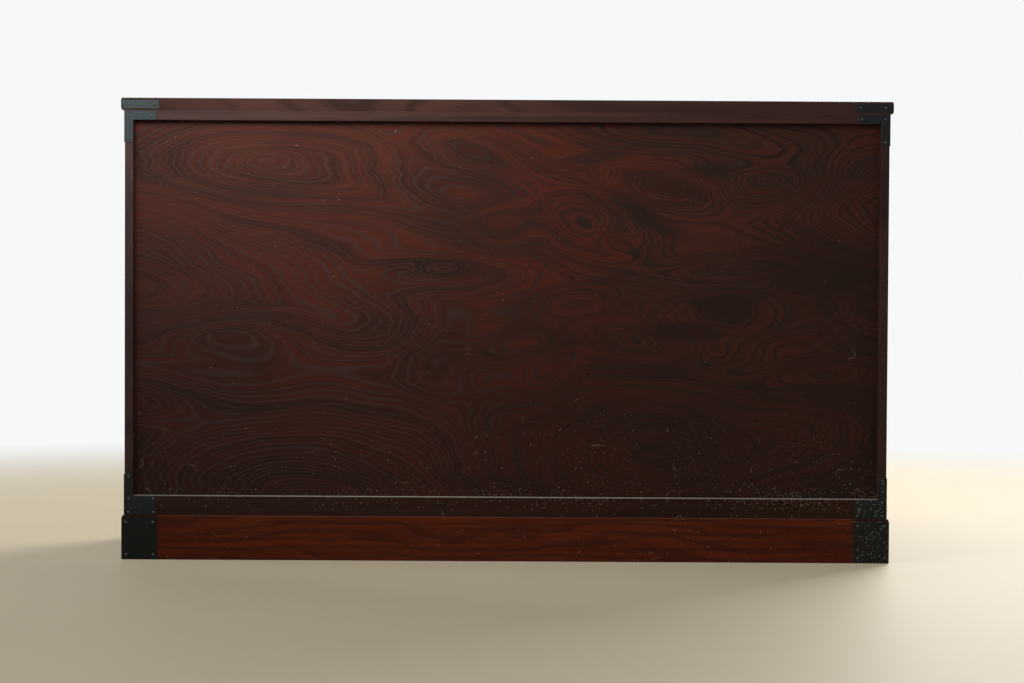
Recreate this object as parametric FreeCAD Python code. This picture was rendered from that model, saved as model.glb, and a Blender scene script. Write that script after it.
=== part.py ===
import FreeCAD, Part
import math
import os

# A low sideboard in dark lacquered wood with black iron corner fittings.
# The front faces -Y, the back faces +Y, and +Z is up. The origin is under the middle, on the floor.
# From the front it has a cupboard with a hinged door on the left, a glazed display with two sliding
# doors over a wide drawer in the middle, and a stack of four drawers on the right.
# All sizes are millimetres.

# Overall sizes, 5.5 by 3.3 by 1.5 shaku
TOP_WIDTH = 1666.0
TOP_DEPTH = 455.0
OVERALL_HEIGHT = 1000.0

# Top board
TOP_THICKNESS = 27.0
TOP_ROUND = 6.0
TOP_SIDE_OVERHANG = 7.0
TOP_FRONT_OVERHANG = 9.0

# Carcass boards
SIDE_THICKNESS = 18.0
PARTITION_THICKNESS = 18.0
CARCASS_TOP_THICKNESS = 21.0
BOTTOM_RAIL_HEIGHT = 42.0
BOTTOM_RAIL_DEPTH = 50.0
BOTTOM_PANEL_THICKNESS = 15.0
BOTTOM_PANEL_LAP = 12.0
BACK_PANEL_THICKNESS = 5.5
BACK_RECESS = 27.0
DISPLAY_FLOOR_THICKNESS = 20.0
SHELF_THICKNESS = 15.0

# Base, a ring of four mitred boards under the carcass
BASE_HEIGHT = 96.0
BASE_BOARD_THICKNESS = 24.0
BASE_SIDE_OVERHANG = 5.0
BASE_FRONT_OVERHANG = 5.0
BASE_BACK_OVERHANG = 2.0
BASE_ROUND = 2.0
CORNER_BLOCK_SIDE = 40.0
CORNER_BLOCK_DROP = 12.0

# Joints between the boards
TONGUE_DEPTH = 6.0
TONGUE_THICKNESS = 8.0
TONGUE_STOP = 40.0
TENON_LENGTH = 10.0
TENON_MARGIN = 9.0
GROOVE_CLEARANCE = 0.25

# Bays, seen from the front
CUPBOARD_WIDTH = 400.0
DRAWER_BAY_WIDTH = 400.0
WIDE_DRAWER_HEIGHT = 180.0
TOP_DRAWER_HEIGHT = 168.0
SECOND_DRAWER_HEIGHT = 191.0

# Drawer rails and runners
DRAWER_RAIL_THICKNESS = 20.0
DRAWER_RAIL_DEPTH = 60.0
RUNNER_WIDTH = 22.0
RUNNER_HEIGHT = 18.0
RUNNER_REAR_GAP = 2.0

# Drawers
DRAWER_FRONT_THICKNESS = 20.0
DRAWER_SIDE_THICKNESS = 10.0
DRAWER_BACK_THICKNESS = 10.0
DRAWER_BOTTOM_THICKNESS = 5.0
DRAWER_BOTTOM_RISE = 8.0
DRAWER_BOTTOM_GROOVE = 5.0
DRAWER_BACK_INSET = 10.0
DRAWER_BACK_DADO = 4.0
DRAWER_FRONT_GAP = 1.0
DRAWER_SIDE_GAP = 1.0
DRAWER_RUN_GAP = 0.3
DRAWER_TOP_GAP = 5.0
DRAWER_REAR_GAP = 1.0
DOVETAIL_LAP = 12.0
DOVETAIL_PITCH = 44.0
DOVETAIL_ROOT = 9.0
DOVETAIL_FLARE = 2.0

# Drop handles
BAIL_SPAN = 92.0
BAIL_DROP = 40.0
BAIL_RADIUS = 4.0
BAIL_SWELL = 5.8
BAIL_SWELL_LENGTH = 56.0
BAIL_SWELL_END = 3.5
BAIL_BEND = 24.0
BAIL_KNOB = 5.6
BAIL_STAND = 13.0
BAIL_LIFT = 8.0
BAIL_TOE_RADIUS = 3.0
BAIL_STOP_GAP = 0.3
POST_RADIUS = 6.4
POST_ROUND = 2.8
POST_LEG_GAP = 1.0
PINTLE_RADIUS = 3.0
PINTLE_CLEARANCE = 0.1
PINTLE_END = 2.0
SHANK_RADIUS = 2.6
SHANK_CLEARANCE = 0.2
SHANK_END = 1.5
WASHER_RADIUS = 8.0
WASHER_THICKNESS = 1.2
PLATE_THICKNESS = 1.6
PLATE_HEIGHT = 44.0
PLATE_MARGIN = 3.0
PLATE_POINT = 15.0
PLATE_CORNER = 8.0
PLATE_TIP = 4.0
WIDE_PULL_SHARE = 0.54

# Ring handle of the cupboard door
RING_RADIUS = 18.0
RING_THICKNESS = 7.0
ROSETTE_MARGIN = 2.5

# Sliding glass doors
SLIDER_THICKNESS = 20.0
SLIDER_SETBACK = 5.0
SLIDER_SPACING = 2.0
SLIDER_OVERLAP = 30.0
SLIDER_END_GAP = 1.0
SLIDER_STILE = 42.0
SLIDER_TOP_RAIL = 42.0
SLIDER_BOTTOM_RAIL = 60.0
SLIDER_UNDER_GAP = 1.0
SLIDER_OVER_GAP = 3.4
TRACK_TONGUE = 8.0
TRACK_CLEARANCE = 0.4
LOWER_TRACK_DEPTH = 3.0
UPPER_TRACK_DEPTH = 12.0
UPPER_TONGUE_HEIGHT = 8.4
TRACK_SOLE_GAP = 0.3
GLASS_THICKNESS = 3.0
GLASS_GROOVE = 6.0
GLASS_CLEARANCE = 0.2
LATTICE_WIDTH = 10.0
LATTICE_THICKNESS = 6.0
LATTICE_ROWS = 2
CUP_RADIUS = 13.0
CUP_DEPTH = 9.0
CUP_WALL = 1.2
CUP_FLANGE = 17.0
CUP_FLANGE_THICKNESS = 1.0

# Hinged cupboard door
DOOR_THICKNESS = 20.0
DOOR_GAP = 1.5
DOOR_STILE = 58.0
DOOR_TOP_RAIL = 58.0
DOOR_BOTTOM_RAIL = 74.0
DOOR_PANEL_THICKNESS = 7.0
DOOR_PANEL_RECESS = 6.0
DOOR_PANEL_GROOVE = 9.0
FRAME_TENON_LENGTH = 26.0
FRAME_TENON_THICKNESS = 7.0
FRAME_TENON_MARGIN = 8.0

# Face hinges of the cupboard door
HINGE_COUNT = 3
HINGE_HEIGHT = 66.0
HINGE_END_DISTANCE = 92.0
HINGE_LEAF_THICKNESS = 1.6
HINGE_KNUCKLE_RADIUS = 4.0
HINGE_KNUCKLE_STANDOFF = 0.3
HINGE_PIN_RADIUS = 2.0
HINGE_PIN_CLEARANCE = 0.1
HINGE_NOTCH = 0.6
HINGE_FIXED_WIDTH = 17.0
HINGE_MOVING_WIDTH = 50.0
HINGE_LEAF_CORNER = 6.0
HINGE_NAIL_MARGIN = 10.0

# Magnet catch of the cupboard door
CATCH_LENGTH = 42.0
CATCH_HEIGHT = 14.0
CATCH_DEPTH = 16.0
CATCH_DROP = 60.0
CATCH_AIR = 0.4
STRIKE_THICKNESS = 1.2
STRIKE_MARGIN = 4.0

# Shelves on pins
PIN_RADIUS = 3.0
PIN_IN_WALL = 9.0
PIN_OUT = 8.0
PIN_CLEARANCE = 0.05
PIN_INSET = 45.0
SHELF_SIDE_GAP = 0.8
SHELF_FRONT_GAP = 12.0
SHELF_REAR_GAP = 1.0
SHELF_SEAT_GAP = 0.2
CUPBOARD_SHELVES = 2

# Iron corner fittings
FITTING_THICKNESS = 1.4
CAP_LENGTH = 81.0
CAP_LIP = 2.0
CAP_LOWER_EDGE = 3.0
CAP_UPPER_EDGE = 5.0
BRACKET_EDGE = 1.0
UPPER_ARM = 68.0
UPPER_UPRIGHT = 68.0
LOWER_ARM = 68.0
LOWER_UPRIGHT = 88.0
BASE_CAP_LENGTH = 77.0
BASE_CAP_HEIGHT = 91.0
BASE_CAP_RISE = 0.5

# Nails of the fittings
NAIL_HEAD_RADIUS = 2.4
NAIL_HEAD_HEIGHT = 1.1
NAIL_SHANK_RADIUS = 1.0
NAIL_HOLE_CLEARANCE = 0.05
NAIL_TIP_GAP = 1.5
NAIL_FROM_CORNER = 9.0
CAP_NAIL_FROM_CORNER = 16.0
CAP_NAIL_MARGIN = 10.0
UPPER_NAIL_MARGIN = 8.0
LOWER_NAIL_MARGIN = 5.5
BASE_NAIL_MARGIN = 10.5

# Levels from the floor up
CARCASS_BASE = BASE_HEIGHT
INSIDE_FLOOR = CARCASS_BASE + BOTTOM_RAIL_HEIGHT
CARCASS_CROWN = OVERALL_HEIGHT - TOP_THICKNESS
INSIDE_CEILING = CARCASS_CROWN - CARCASS_TOP_THICKNESS
DISPLAY_BASE = INSIDE_FLOOR + WIDE_DRAWER_HEIGHT
DISPLAY_FLOOR = DISPLAY_BASE + DISPLAY_FLOOR_THICKNESS

# Places across the width
CARCASS_HALF = TOP_WIDTH / 2 - TOP_SIDE_OVERHANG
INSIDE_HALF = CARCASS_HALF - SIDE_THICKNESS
BASE_HALF = CARCASS_HALF + BASE_SIDE_OVERHANG
CUPBOARD_X = (-INSIDE_HALF, -INSIDE_HALF + CUPBOARD_WIDTH)
DRAWER_BAY_X = (INSIDE_HALF - DRAWER_BAY_WIDTH, INSIDE_HALF)
DISPLAY_X = (CUPBOARD_X[1] + PARTITION_THICKNESS, DRAWER_BAY_X[0] - PARTITION_THICKNESS)
SLIDER_WIDTH = (DISPLAY_X[1] - DISPLAY_X[0] + SLIDER_OVERLAP) / 2 - SLIDER_END_GAP

# Places from front to back, with the origin halfway between the foremost and rearmost points
CARCASS_DEPTH = TOP_DEPTH - TOP_FRONT_OVERHANG
POST_REACH = BAIL_STAND + POST_RADIUS
BACK_REACH = BASE_BACK_OVERHANG + FITTING_THICKNESS + NAIL_HEAD_HEIGHT
FRONT_Y = (POST_REACH - BACK_REACH - CARCASS_DEPTH) / 2
BACK_Y = FRONT_Y + CARCASS_DEPTH
PANEL_BACK_Y = BACK_Y - BACK_RECESS
INSIDE_BACK_Y = PANEL_BACK_Y - BACK_PANEL_THICKNESS
BASE_FRONT_Y = FRONT_Y - BASE_FRONT_OVERHANG
BASE_BACK_Y = BACK_Y + BASE_BACK_OVERHANG
SLIDER_FRONT_Y = FRONT_Y + SLIDER_SETBACK
SLIDER_REAR_Y = SLIDER_FRONT_Y + SLIDER_THICKNESS + SLIDER_SPACING
DISPLAY_SHELF_FRONT_Y = SLIDER_REAR_Y + SLIDER_THICKNESS + SHELF_FRONT_GAP
DOOR_BACK_Y = FRONT_Y + DOOR_THICKNESS

# Drawer openings of the stack, from the top one down: (floor, ceiling)
STACK_TOP = (INSIDE_CEILING - TOP_DRAWER_HEIGHT, INSIDE_CEILING)
STACK_SECOND_CEILING = STACK_TOP[0] - DRAWER_RAIL_THICKNESS
STACK_SECOND = (STACK_SECOND_CEILING - SECOND_DRAWER_HEIGHT, STACK_SECOND_CEILING)
STACK_THIRD = (DISPLAY_BASE + DRAWER_RAIL_THICKNESS, STACK_SECOND[0] - DRAWER_RAIL_THICKNESS)
STACK_BOTTOM = (INSIDE_FLOOR, DISPLAY_BASE)
STACK = (STACK_TOP, STACK_SECOND, STACK_THIRD, STACK_BOTTOM)

# Hinge line of the cupboard door
HINGE_X = CUPBOARD_X[0] + DOOR_GAP / 2
HINGE_Y = FRONT_Y - HINGE_KNUCKLE_RADIUS - HINGE_KNUCKLE_STANDOFF

# What the nails of the corner fittings go through
NAILED_NODES = (
    "top_board", "left_side_panel", "right_side_panel", "carcass_top_panel", "carcass_bottom_rails",
    "base_front_board", "base_back_board", "base_left_board", "base_right_board",
    "top_board_corner_caps", "upper_corner_brackets", "lower_corner_brackets", "base_corner_caps",
)

X_AXIS = FreeCAD.Vector(1, 0, 0)
Y_AXIS = FreeCAD.Vector(0, 1, 0)
Z_AXIS = FreeCAD.Vector(0, 0, 1)


def point(x, y, z):
    return FreeCAD.Vector(x, y, z)


def block(xa, xb, ya, yb, za, zb):
    """A box between two corners, given in any order."""
    low = point(min(xa, xb), min(ya, yb), min(za, zb))
    return Part.makeBox(abs(xb - xa), abs(yb - ya), abs(zb - za), low)


def joined(solids):
    """One solid made of several that meet."""
    whole = solids[0]
    if len(solids) > 1:
        whole = whole.multiFuse(solids[1:])
    return whole.removeSplitter()


def less(solid, tools):
    """A solid with the tools cut out of it."""
    return solid.cut(tools) if tools else solid


def rounded_wire(corners, place):
    """A closed outline through (u, v, radius) corners, each rounded with a tangent arc."""
    edges = []
    ends = []
    for i, (u, v, radius) in enumerate(corners):
        here = FreeCAD.Vector(u, v, 0)
        before = FreeCAD.Vector(corners[i - 1][0], corners[i - 1][1], 0) - here
        after_corner = corners[(i + 1) % len(corners)]
        after = FreeCAD.Vector(after_corner[0], after_corner[1], 0) - here
        if radius <= 0:
            ends.append((here, None, here))
            continue
        before.normalize()
        after.normalize()
        half = math.acos(max(-1.0, min(1.0, before.dot(after)))) / 2
        bisector = before + after
        bisector.normalize()
        centre = here + bisector * (radius / math.sin(half))
        reach = radius / math.tan(half)
        ends.append((here + before * reach, centre - bisector * radius, here + after * reach))
    for i, (start, middle, end) in enumerate(ends):
        last = ends[i - 1][2]
        if (start - last).Length > 1e-6:
            edges.append(Part.LineSegment(place(last.x, last.y), place(start.x, start.y)).toShape())
        if middle is not None:
            arc = Part.Arc(place(start.x, start.y), place(middle.x, middle.y), place(end.x, end.y))
            edges.append(arc.toShape())
    return Part.Wire(Part.sortEdges(edges)[0])


def revolved(corners, centre, axis, radial):
    """A solid turned about an axis through centre, from straight (radius, along) corners."""
    path = [centre + radial * r + axis * a for r, a in corners]
    wire = Part.makePolygon(path + [path[0]])
    return Part.Face(wire).revolve(centre, axis, 360)


# Top board

def top_board_form(grow):
    """The top board's form, with every face but the underside's back edge moved out by grow."""
    half = TOP_WIDTH / 2 + grow
    front = FRONT_Y - TOP_FRONT_OVERHANG - grow
    back = BACK_Y + grow
    low = CARCASS_CROWN - grow
    high = OVERALL_HEIGHT + grow
    radius = TOP_ROUND + grow
    across = rounded_wire(
        [(-half, low, radius), (half, low, radius), (half, high, radius), (-half, high, radius)],
        lambda u, v: point(u, front, v),
    )
    along = rounded_wire(
        [(front, low, radius), (back, low, 0), (back, high, radius), (front, high, radius)],
        lambda u, v: point(-half, u, v),
    )
    run = Part.Face(across).extrude(Y_AXIS * (back - front))
    return run.common(Part.Face(along).extrude(X_AXIS * 2 * half))


def top_board_cap(side, rear, skin):
    """An iron strip round one corner of the top board's edge."""
    outer = side * (TOP_WIDTH / 2 + FITTING_THICKNESS)
    lip = side * (TOP_WIDTH / 2 - CAP_LIP)
    inner = side * (TOP_WIDTH / 2 - CAP_LENGTH)
    edge = BACK_Y if rear > 0 else FRONT_Y - TOP_FRONT_OVERHANG
    out = edge + rear * FITTING_THICKNESS
    on_side = block(outer, lip, out, edge - rear * CAP_LENGTH, CARCASS_CROWN, OVERALL_HEIGHT)
    low = CARCASS_CROWN + CAP_LOWER_EDGE
    high = OVERALL_HEIGHT - CAP_UPPER_EDGE
    on_face = block(outer, inner, out, edge - rear * TOP_ROUND, low, high)
    return skin.common(joined([on_side, on_face]))


# Carcass

def side_panel(side, cuts):
    outer = side * CARCASS_HALF
    inner = side * INSIDE_HALF
    return less(block(outer, inner, FRONT_Y, BACK_Y, CARCASS_BASE, CARCASS_CROWN), cuts)


def carcass_top_tongues():
    """The two end tongues of the carcass top, housed in the side panels."""
    low = INSIDE_CEILING + (CARCASS_TOP_THICKNESS - TONGUE_THICKNESS) / 2
    high = low + TONGUE_THICKNESS
    front = FRONT_Y + TONGUE_STOP
    back = BACK_Y - TONGUE_STOP
    ends = [side * INSIDE_HALF for side in (-1, 1)]
    tips = [side * (INSIDE_HALF + TONGUE_DEPTH) for side in (-1, 1)]
    return [block(a, b, front, back, low, high) for a, b in zip(ends, tips)]


def bottom_panel_body():
    front = FRONT_Y + BOTTOM_RAIL_DEPTH - BOTTOM_PANEL_LAP
    back = BACK_Y - BOTTOM_RAIL_DEPTH + BOTTOM_PANEL_LAP
    reach = INSIDE_HALF + TONGUE_DEPTH
    return block(-reach, reach, front, back, INSIDE_FLOOR - BOTTOM_PANEL_THICKNESS, INSIDE_FLOOR)


def rail_tenons(front, back):
    """Stub tenons at both ends of a bottom rail."""
    low = CARCASS_BASE + TENON_MARGIN
    high = INSIDE_FLOOR - BOTTOM_PANEL_THICKNESS - TENON_MARGIN / 3
    depths = (front + TENON_MARGIN, back - TENON_MARGIN)
    tips = INSIDE_HALF + TENON_LENGTH
    return [block(s * INSIDE_HALF, s * tips, depths[0], depths[1], low, high) for s in (-1, 1)]


def bottom_rail(front, back, cuts):
    body = block(-INSIDE_HALF, INSIDE_HALF, front, back, CARCASS_BASE, INSIDE_FLOOR)
    return less(joined([body] + rail_tenons(front, back)), cuts)


def back_panel_body(clearance):
    """The back panel, or with a clearance the groove that holds it."""
    reach = INSIDE_HALF + TONGUE_DEPTH
    low = INSIDE_FLOOR - TONGUE_DEPTH
    high = INSIDE_CEILING + TONGUE_DEPTH
    front = INSIDE_BACK_Y - clearance
    back = PANEL_BACK_Y + clearance
    return block(-reach - clearance, reach + clearance, front, back, low - clearance, high + clearance)


def partition_tongues(x_low):
    """Tongues on the top and bottom edges of a partition."""
    left = x_low + (PARTITION_THICKNESS - TONGUE_THICKNESS) / 2
    right = left + TONGUE_THICKNESS
    front = FRONT_Y + BOTTOM_RAIL_DEPTH + TONGUE_STOP
    back = INSIDE_BACK_Y - TONGUE_STOP
    upper = block(left, right, front, back, INSIDE_CEILING, INSIDE_CEILING + TONGUE_DEPTH)
    lower = block(left, right, front, back, INSIDE_FLOOR - TONGUE_DEPTH, INSIDE_FLOOR)
    return [upper, lower]


def partition(x_low, cuts):
    x_high = x_low + PARTITION_THICKNESS
    body = block(x_low, x_high, FRONT_Y, INSIDE_BACK_Y, INSIDE_FLOOR, INSIDE_CEILING)
    return less(joined([body] + partition_tongues(x_low)), cuts)


# Base

def base_form():
    """The outer form of the base, with its upper arris rounded."""
    deep = rounded_wire(
        [
            (BASE_FRONT_Y, 0, 0),
            (BASE_BACK_Y, 0, 0),
            (BASE_BACK_Y, BASE_HEIGHT, BASE_ROUND),
            (BASE_FRONT_Y, BASE_HEIGHT, BASE_ROUND),
        ],
        lambda u, v: point(-BASE_HALF, u, v),
    )
    wide = rounded_wire(
        [
            (-BASE_HALF, 0, 0),
            (BASE_HALF, 0, 0),
            (BASE_HALF, BASE_HEIGHT, BASE_ROUND),
            (-BASE_HALF, BASE_HEIGHT, BASE_ROUND),
        ],
        lambda u, v: point(u, BASE_FRONT_Y, v),
    )
    run = Part.Face(deep).extrude(X_AXIS * 2 * BASE_HALF)
    return run.common(Part.Face(wide).extrude(Y_AXIS * (BASE_BACK_Y - BASE_FRONT_Y)))


def base_boards():
    """Front, back, left and right boards, mitred at the corners."""
    form = base_form()
    t = BASE_BOARD_THICKNESS
    boards = {}
    for name, edge, inward in (("front", BASE_FRONT_Y, 1), ("back", BASE_BACK_Y, -1)):
        corners = [
            point(-BASE_HALF, edge, 0),
            point(BASE_HALF, edge, 0),
            point(BASE_HALF - t, edge + inward * t, 0),
            point(-BASE_HALF + t, edge + inward * t, 0),
        ]
        boards[name] = form.common(mitred_prism(corners))
    for name, side in (("left", -1), ("right", 1)):
        corners = [
            point(side * BASE_HALF, BASE_FRONT_Y, 0),
            point(side * BASE_HALF, BASE_BACK_Y, 0),
            point(side * (BASE_HALF - t), BASE_BACK_Y - t, 0),
            point(side * (BASE_HALF - t), BASE_FRONT_Y + t, 0),
        ]
        boards[name] = form.common(mitred_prism(corners))
    return boards


def mitred_prism(corners):
    wire = Part.makePolygon(corners + [corners[0]])
    return Part.Face(wire).extrude(Z_AXIS * BASE_HEIGHT)


def base_corner_block(side, rear):
    """A triangular glue block in one inner corner of the base."""
    x = side * (BASE_HALF - BASE_BOARD_THICKNESS)
    edge = BASE_BACK_Y if rear > 0 else BASE_FRONT_Y
    y = edge - rear * BASE_BOARD_THICKNESS
    corners = [
        point(x, y, CORNER_BLOCK_DROP),
        point(x - side * CORNER_BLOCK_SIDE, y, CORNER_BLOCK_DROP),
        point(x, y - rear * CORNER_BLOCK_SIDE, CORNER_BLOCK_DROP),
    ]
    wire = Part.makePolygon(corners + [corners[0]])
    return Part.Face(wire).extrude(Z_AXIS * (BASE_HEIGHT - CORNER_BLOCK_DROP))


# Shelves and pins

def shelf_levels(floor, ceiling, count):
    """Undersides of shelves that share a space evenly."""
    clear = (ceiling - floor - count * SHELF_THICKNESS) / (count + 1)
    return [floor + clear * (i + 1) + SHELF_THICKNESS * i for i in range(count)]


def shelf(bay, front, level):
    left = bay[0] + SHELF_SIDE_GAP
    right = bay[1] - SHELF_SIDE_GAP
    return block(left, right, front, INSIDE_BACK_Y - SHELF_REAR_GAP, level, level + SHELF_THICKNESS)


def shelf_pins(bay, front, level, clearance):
    """Four pins under a shelf, or with a clearance the holes that take them."""
    height = level - SHELF_SEAT_GAP - PIN_RADIUS
    pins = []
    for y in (front + PIN_INSET, INSIDE_BACK_Y - PIN_INSET):
        for wall, inward in ((bay[0], 1), (bay[1], -1)):
            start = point(wall - inward * (PIN_IN_WALL + clearance), y, height)
            length = PIN_IN_WALL + PIN_OUT + clearance
            radius = PIN_RADIUS + clearance
            pins.append(Part.makeCylinder(radius, length, start, X_AXIS * inward))
    return pins


# Drawer rails and runners

def drawer_rail(top):
    low = top - DRAWER_RAIL_THICKNESS
    body = block(DRAWER_BAY_X[0], DRAWER_BAY_X[1], FRONT_Y, FRONT_Y + DRAWER_RAIL_DEPTH, low, top)
    return joined([body] + drawer_rail_tongues(top))


def drawer_rail_tongues(top):
    low = top - (DRAWER_RAIL_THICKNESS + TONGUE_THICKNESS) / 2
    high = low + TONGUE_THICKNESS
    front = FRONT_Y + TENON_MARGIN
    back = FRONT_Y + DRAWER_RAIL_DEPTH - TENON_MARGIN
    left = block(DRAWER_BAY_X[0] - TONGUE_DEPTH, DRAWER_BAY_X[0], front, back, low, high)
    right = block(DRAWER_BAY_X[1], DRAWER_BAY_X[1] + TONGUE_DEPTH, front, back, low, high)
    return [left, right]


def drawer_runners(top):
    front = FRONT_Y + DRAWER_RAIL_DEPTH
    back = INSIDE_BACK_Y - RUNNER_REAR_GAP
    left = block(DRAWER_BAY_X[0], DRAWER_BAY_X[0] + RUNNER_WIDTH, front, back, top - RUNNER_HEIGHT, top)
    right = block(DRAWER_BAY_X[1] - RUNNER_WIDTH, DRAWER_BAY_X[1], front, back, top - RUNNER_HEIGHT, top)
    return [left, right]


# Display floor

def display_floor_tongues():
    low = DISPLAY_BASE + (DISPLAY_FLOOR_THICKNESS - TONGUE_THICKNESS) / 2
    high = low + TONGUE_THICKNESS
    front = FRONT_Y + TONGUE_STOP
    back = INSIDE_BACK_Y - TONGUE_STOP
    left = block(DISPLAY_X[0] - TONGUE_DEPTH, DISPLAY_X[0], front, back, low, high)
    right = block(DISPLAY_X[1], DISPLAY_X[1] + TONGUE_DEPTH, front, back, low, high)
    return [left, right]


def track_grooves(low, high):
    """The two grooves that guide the sliding doors."""
    inset = (SLIDER_THICKNESS - TRACK_TONGUE) / 2 - TRACK_CLEARANCE
    width = TRACK_TONGUE + 2 * TRACK_CLEARANCE
    grooves = []
    for face in (SLIDER_FRONT_Y, SLIDER_REAR_Y):
        grooves.append(block(DISPLAY_X[0], DISPLAY_X[1], face + inset, face + inset + width, low, high))
    return grooves


def display_floor():
    body = block(DISPLAY_X[0], DISPLAY_X[1], FRONT_Y, INSIDE_BACK_Y, DISPLAY_BASE, DISPLAY_FLOOR)
    whole = joined([body] + display_floor_tongues())
    return less(whole, track_grooves(DISPLAY_FLOOR - LOWER_TRACK_DEPTH, DISPLAY_FLOOR))


# Drawers

def drawer_limits(bay, opening):
    """The outer box of a drawer's sides: left, right, front, back, low and high."""
    left = bay[0] + DRAWER_SIDE_GAP
    right = bay[1] - DRAWER_SIDE_GAP
    front = FRONT_Y + DRAWER_FRONT_THICKNESS
    back = INSIDE_BACK_Y - DRAWER_REAR_GAP
    low = opening[0] + DRAWER_RUN_GAP
    high = opening[1] - DRAWER_TOP_GAP
    return left, right, front, back, low, high


def dovetails(x_low, front, low, high):
    """Tails along the front end of one drawer side, lapped into the drawer front."""
    count = max(2, round((high - low) / DOVETAIL_PITCH))
    pitch = (high - low) / count
    tails = []
    for i in range(count):
        middle = low + pitch * (i + 0.5)
        tip = DOVETAIL_ROOT + DOVETAIL_FLARE
        corners = [
            point(x_low, front, middle - DOVETAIL_ROOT),
            point(x_low, front, middle + DOVETAIL_ROOT),
            point(x_low, front - DOVETAIL_LAP, middle + tip),
            point(x_low, front - DOVETAIL_LAP, middle - tip),
        ]
        wire = Part.makePolygon(corners + [corners[0]])
        tails.append(Part.Face(wire).extrude(X_AXIS * DRAWER_SIDE_THICKNESS))
    return tails


def drawer_pieces(bay, opening):
    """A drawer's front, and its box of two sides, back and bottom."""
    left, right, front, back, low, high = drawer_limits(bay, opening)
    inner_left = left + DRAWER_SIDE_THICKNESS
    inner_right = right - DRAWER_SIDE_THICKNESS
    under = low + DRAWER_BOTTOM_RISE
    over = under + DRAWER_BOTTOM_THICKNESS
    groove = DRAWER_BOTTOM_GROOVE
    bottom = block(inner_left - groove, inner_right + groove, front - groove, back, under, over)
    rear = back - DRAWER_BACK_INSET
    back_left = inner_left - DRAWER_BACK_DADO
    back_right = inner_right + DRAWER_BACK_DADO
    back_board = block(back_left, back_right, rear - DRAWER_BACK_THICKNESS, rear, over, high)
    face = block(
        bay[0] + DRAWER_FRONT_GAP, bay[1] - DRAWER_FRONT_GAP, FRONT_Y, front,
        opening[0] + DRAWER_FRONT_GAP, opening[1] - DRAWER_FRONT_GAP,
    )
    sides = []
    tails = []
    for x_low in (left, inner_right):
        run = block(x_low, x_low + DRAWER_SIDE_THICKNESS, front, back, low, high)
        own_tails = dovetails(x_low, front, low, high)
        tails += own_tails
        sides.append(less(joined([run] + own_tails), [bottom, back_board]))
    return less(face, tails + [bottom]), sides + [back_board, bottom]


# Drop handles

def handle_leg_distance(span):
    """From the middle of a handle to the middle of either leg."""
    return span / 2 + POST_RADIUS + POST_LEG_GAP + BAIL_KNOB


def leg_end(x, y, z):
    """The knob at the top of a leg, with a toe above it that stops the handle when it is level."""
    reach = BAIL_STAND - PLATE_THICKNESS - BAIL_STOP_GAP - BAIL_TOE_RADIUS
    knob = Part.makeSphere(BAIL_KNOB, point(x, y, z))
    toe = Part.makeCone(BAIL_RADIUS, BAIL_TOE_RADIUS, reach, point(x, y, z), Z_AXIS)
    return [knob, toe, Part.makeSphere(BAIL_TOE_RADIUS, point(x, y, z + reach))]


def bail_handle(x, y, z):
    """A hanging handle: two pintles, two legs, rounded corners and a grip that swells in the middle."""
    leg_x = handle_leg_distance(BAIL_SPAN)
    low = z - BAIL_DROP
    inner = leg_x - BAIL_BEND
    corner = BAIL_BEND * (1 - math.sqrt(0.5))
    tops = [point(x + side * leg_x, y, z) for side in (-1, 1)]
    knees = [point(x + side * leg_x, y, low + BAIL_BEND) for side in (-1, 1)]
    turns = [point(x + side * (leg_x - corner), y, low + corner) for side in (-1, 1)]
    feet = [point(x + side * inner, y, low) for side in (-1, 1)]
    path = [
        Part.makeLine(tops[0], knees[0]),
        Part.Arc(knees[0], turns[0], feet[0]).toShape(),
        Part.makeLine(feet[0], feet[1]),
        Part.Arc(feet[1], turns[1], knees[1]).toShape(),
        Part.makeLine(knees[1], tops[1]),
    ]
    section = Part.Wire(Part.makeCircle(BAIL_RADIUS, tops[0], Z_AXIS * -1))
    pieces = [Part.Wire(path).makePipeShell([section], True, False), grip_swell(x, y, low)]
    inside = BAIL_SPAN / 2 - POST_RADIUS - PINTLE_END
    for side in (-1, 1):
        start = point(x + side * inside, y, z)
        pieces.append(Part.makeCylinder(PINTLE_RADIUS, leg_x - inside, start, X_AXIS * side))
        pieces += leg_end(x + side * leg_x, y, z)
    return joined(pieces)


def grip_swell(x, y, z):
    """The thicker middle of a grip, turned about its length."""
    half = BAIL_SWELL_LENGTH / 2
    left = point(x - half, y, z - BAIL_SWELL_END)
    right = point(x + half, y, z - BAIL_SWELL_END)
    edges = [
        Part.Arc(left, point(x, y, z - BAIL_SWELL), right).toShape(),
        Part.makeLine(right, point(x + half, y, z)),
        Part.makeLine(point(x + half, y, z), point(x - half, y, z)),
        Part.makeLine(point(x - half, y, z), left),
    ]
    return Part.Face(Part.Wire(edges)).revolve(point(x, y, z), X_AXIS, 360)


def ring_handle(x, y, z):
    """A ring that hangs on a pintle through one post."""
    leg_x = handle_leg_distance(0)
    drop = RING_RADIUS + math.sqrt(RING_RADIUS**2 - leg_x**2)
    left = point(x - leg_x, y, z)
    right = point(x + leg_x, y, z)
    ring = Part.Wire(Part.Arc(left, point(x, y, z - drop), right).toShape())
    rise = math.sqrt(RING_RADIUS**2 - leg_x**2) / RING_RADIUS
    way = FreeCAD.Vector(-rise, 0, -leg_x / RING_RADIUS)
    section = Part.Wire(Part.makeCircle(RING_THICKNESS / 2, left, way))
    pieces = [ring.makePipeShell([section], True, False)]
    pieces.append(Part.makeCylinder(PINTLE_RADIUS, 2 * leg_x, left, X_AXIS))
    pieces += leg_end(x - leg_x, y, z)
    pieces += leg_end(x + leg_x, y, z)
    return joined(pieces)


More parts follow.
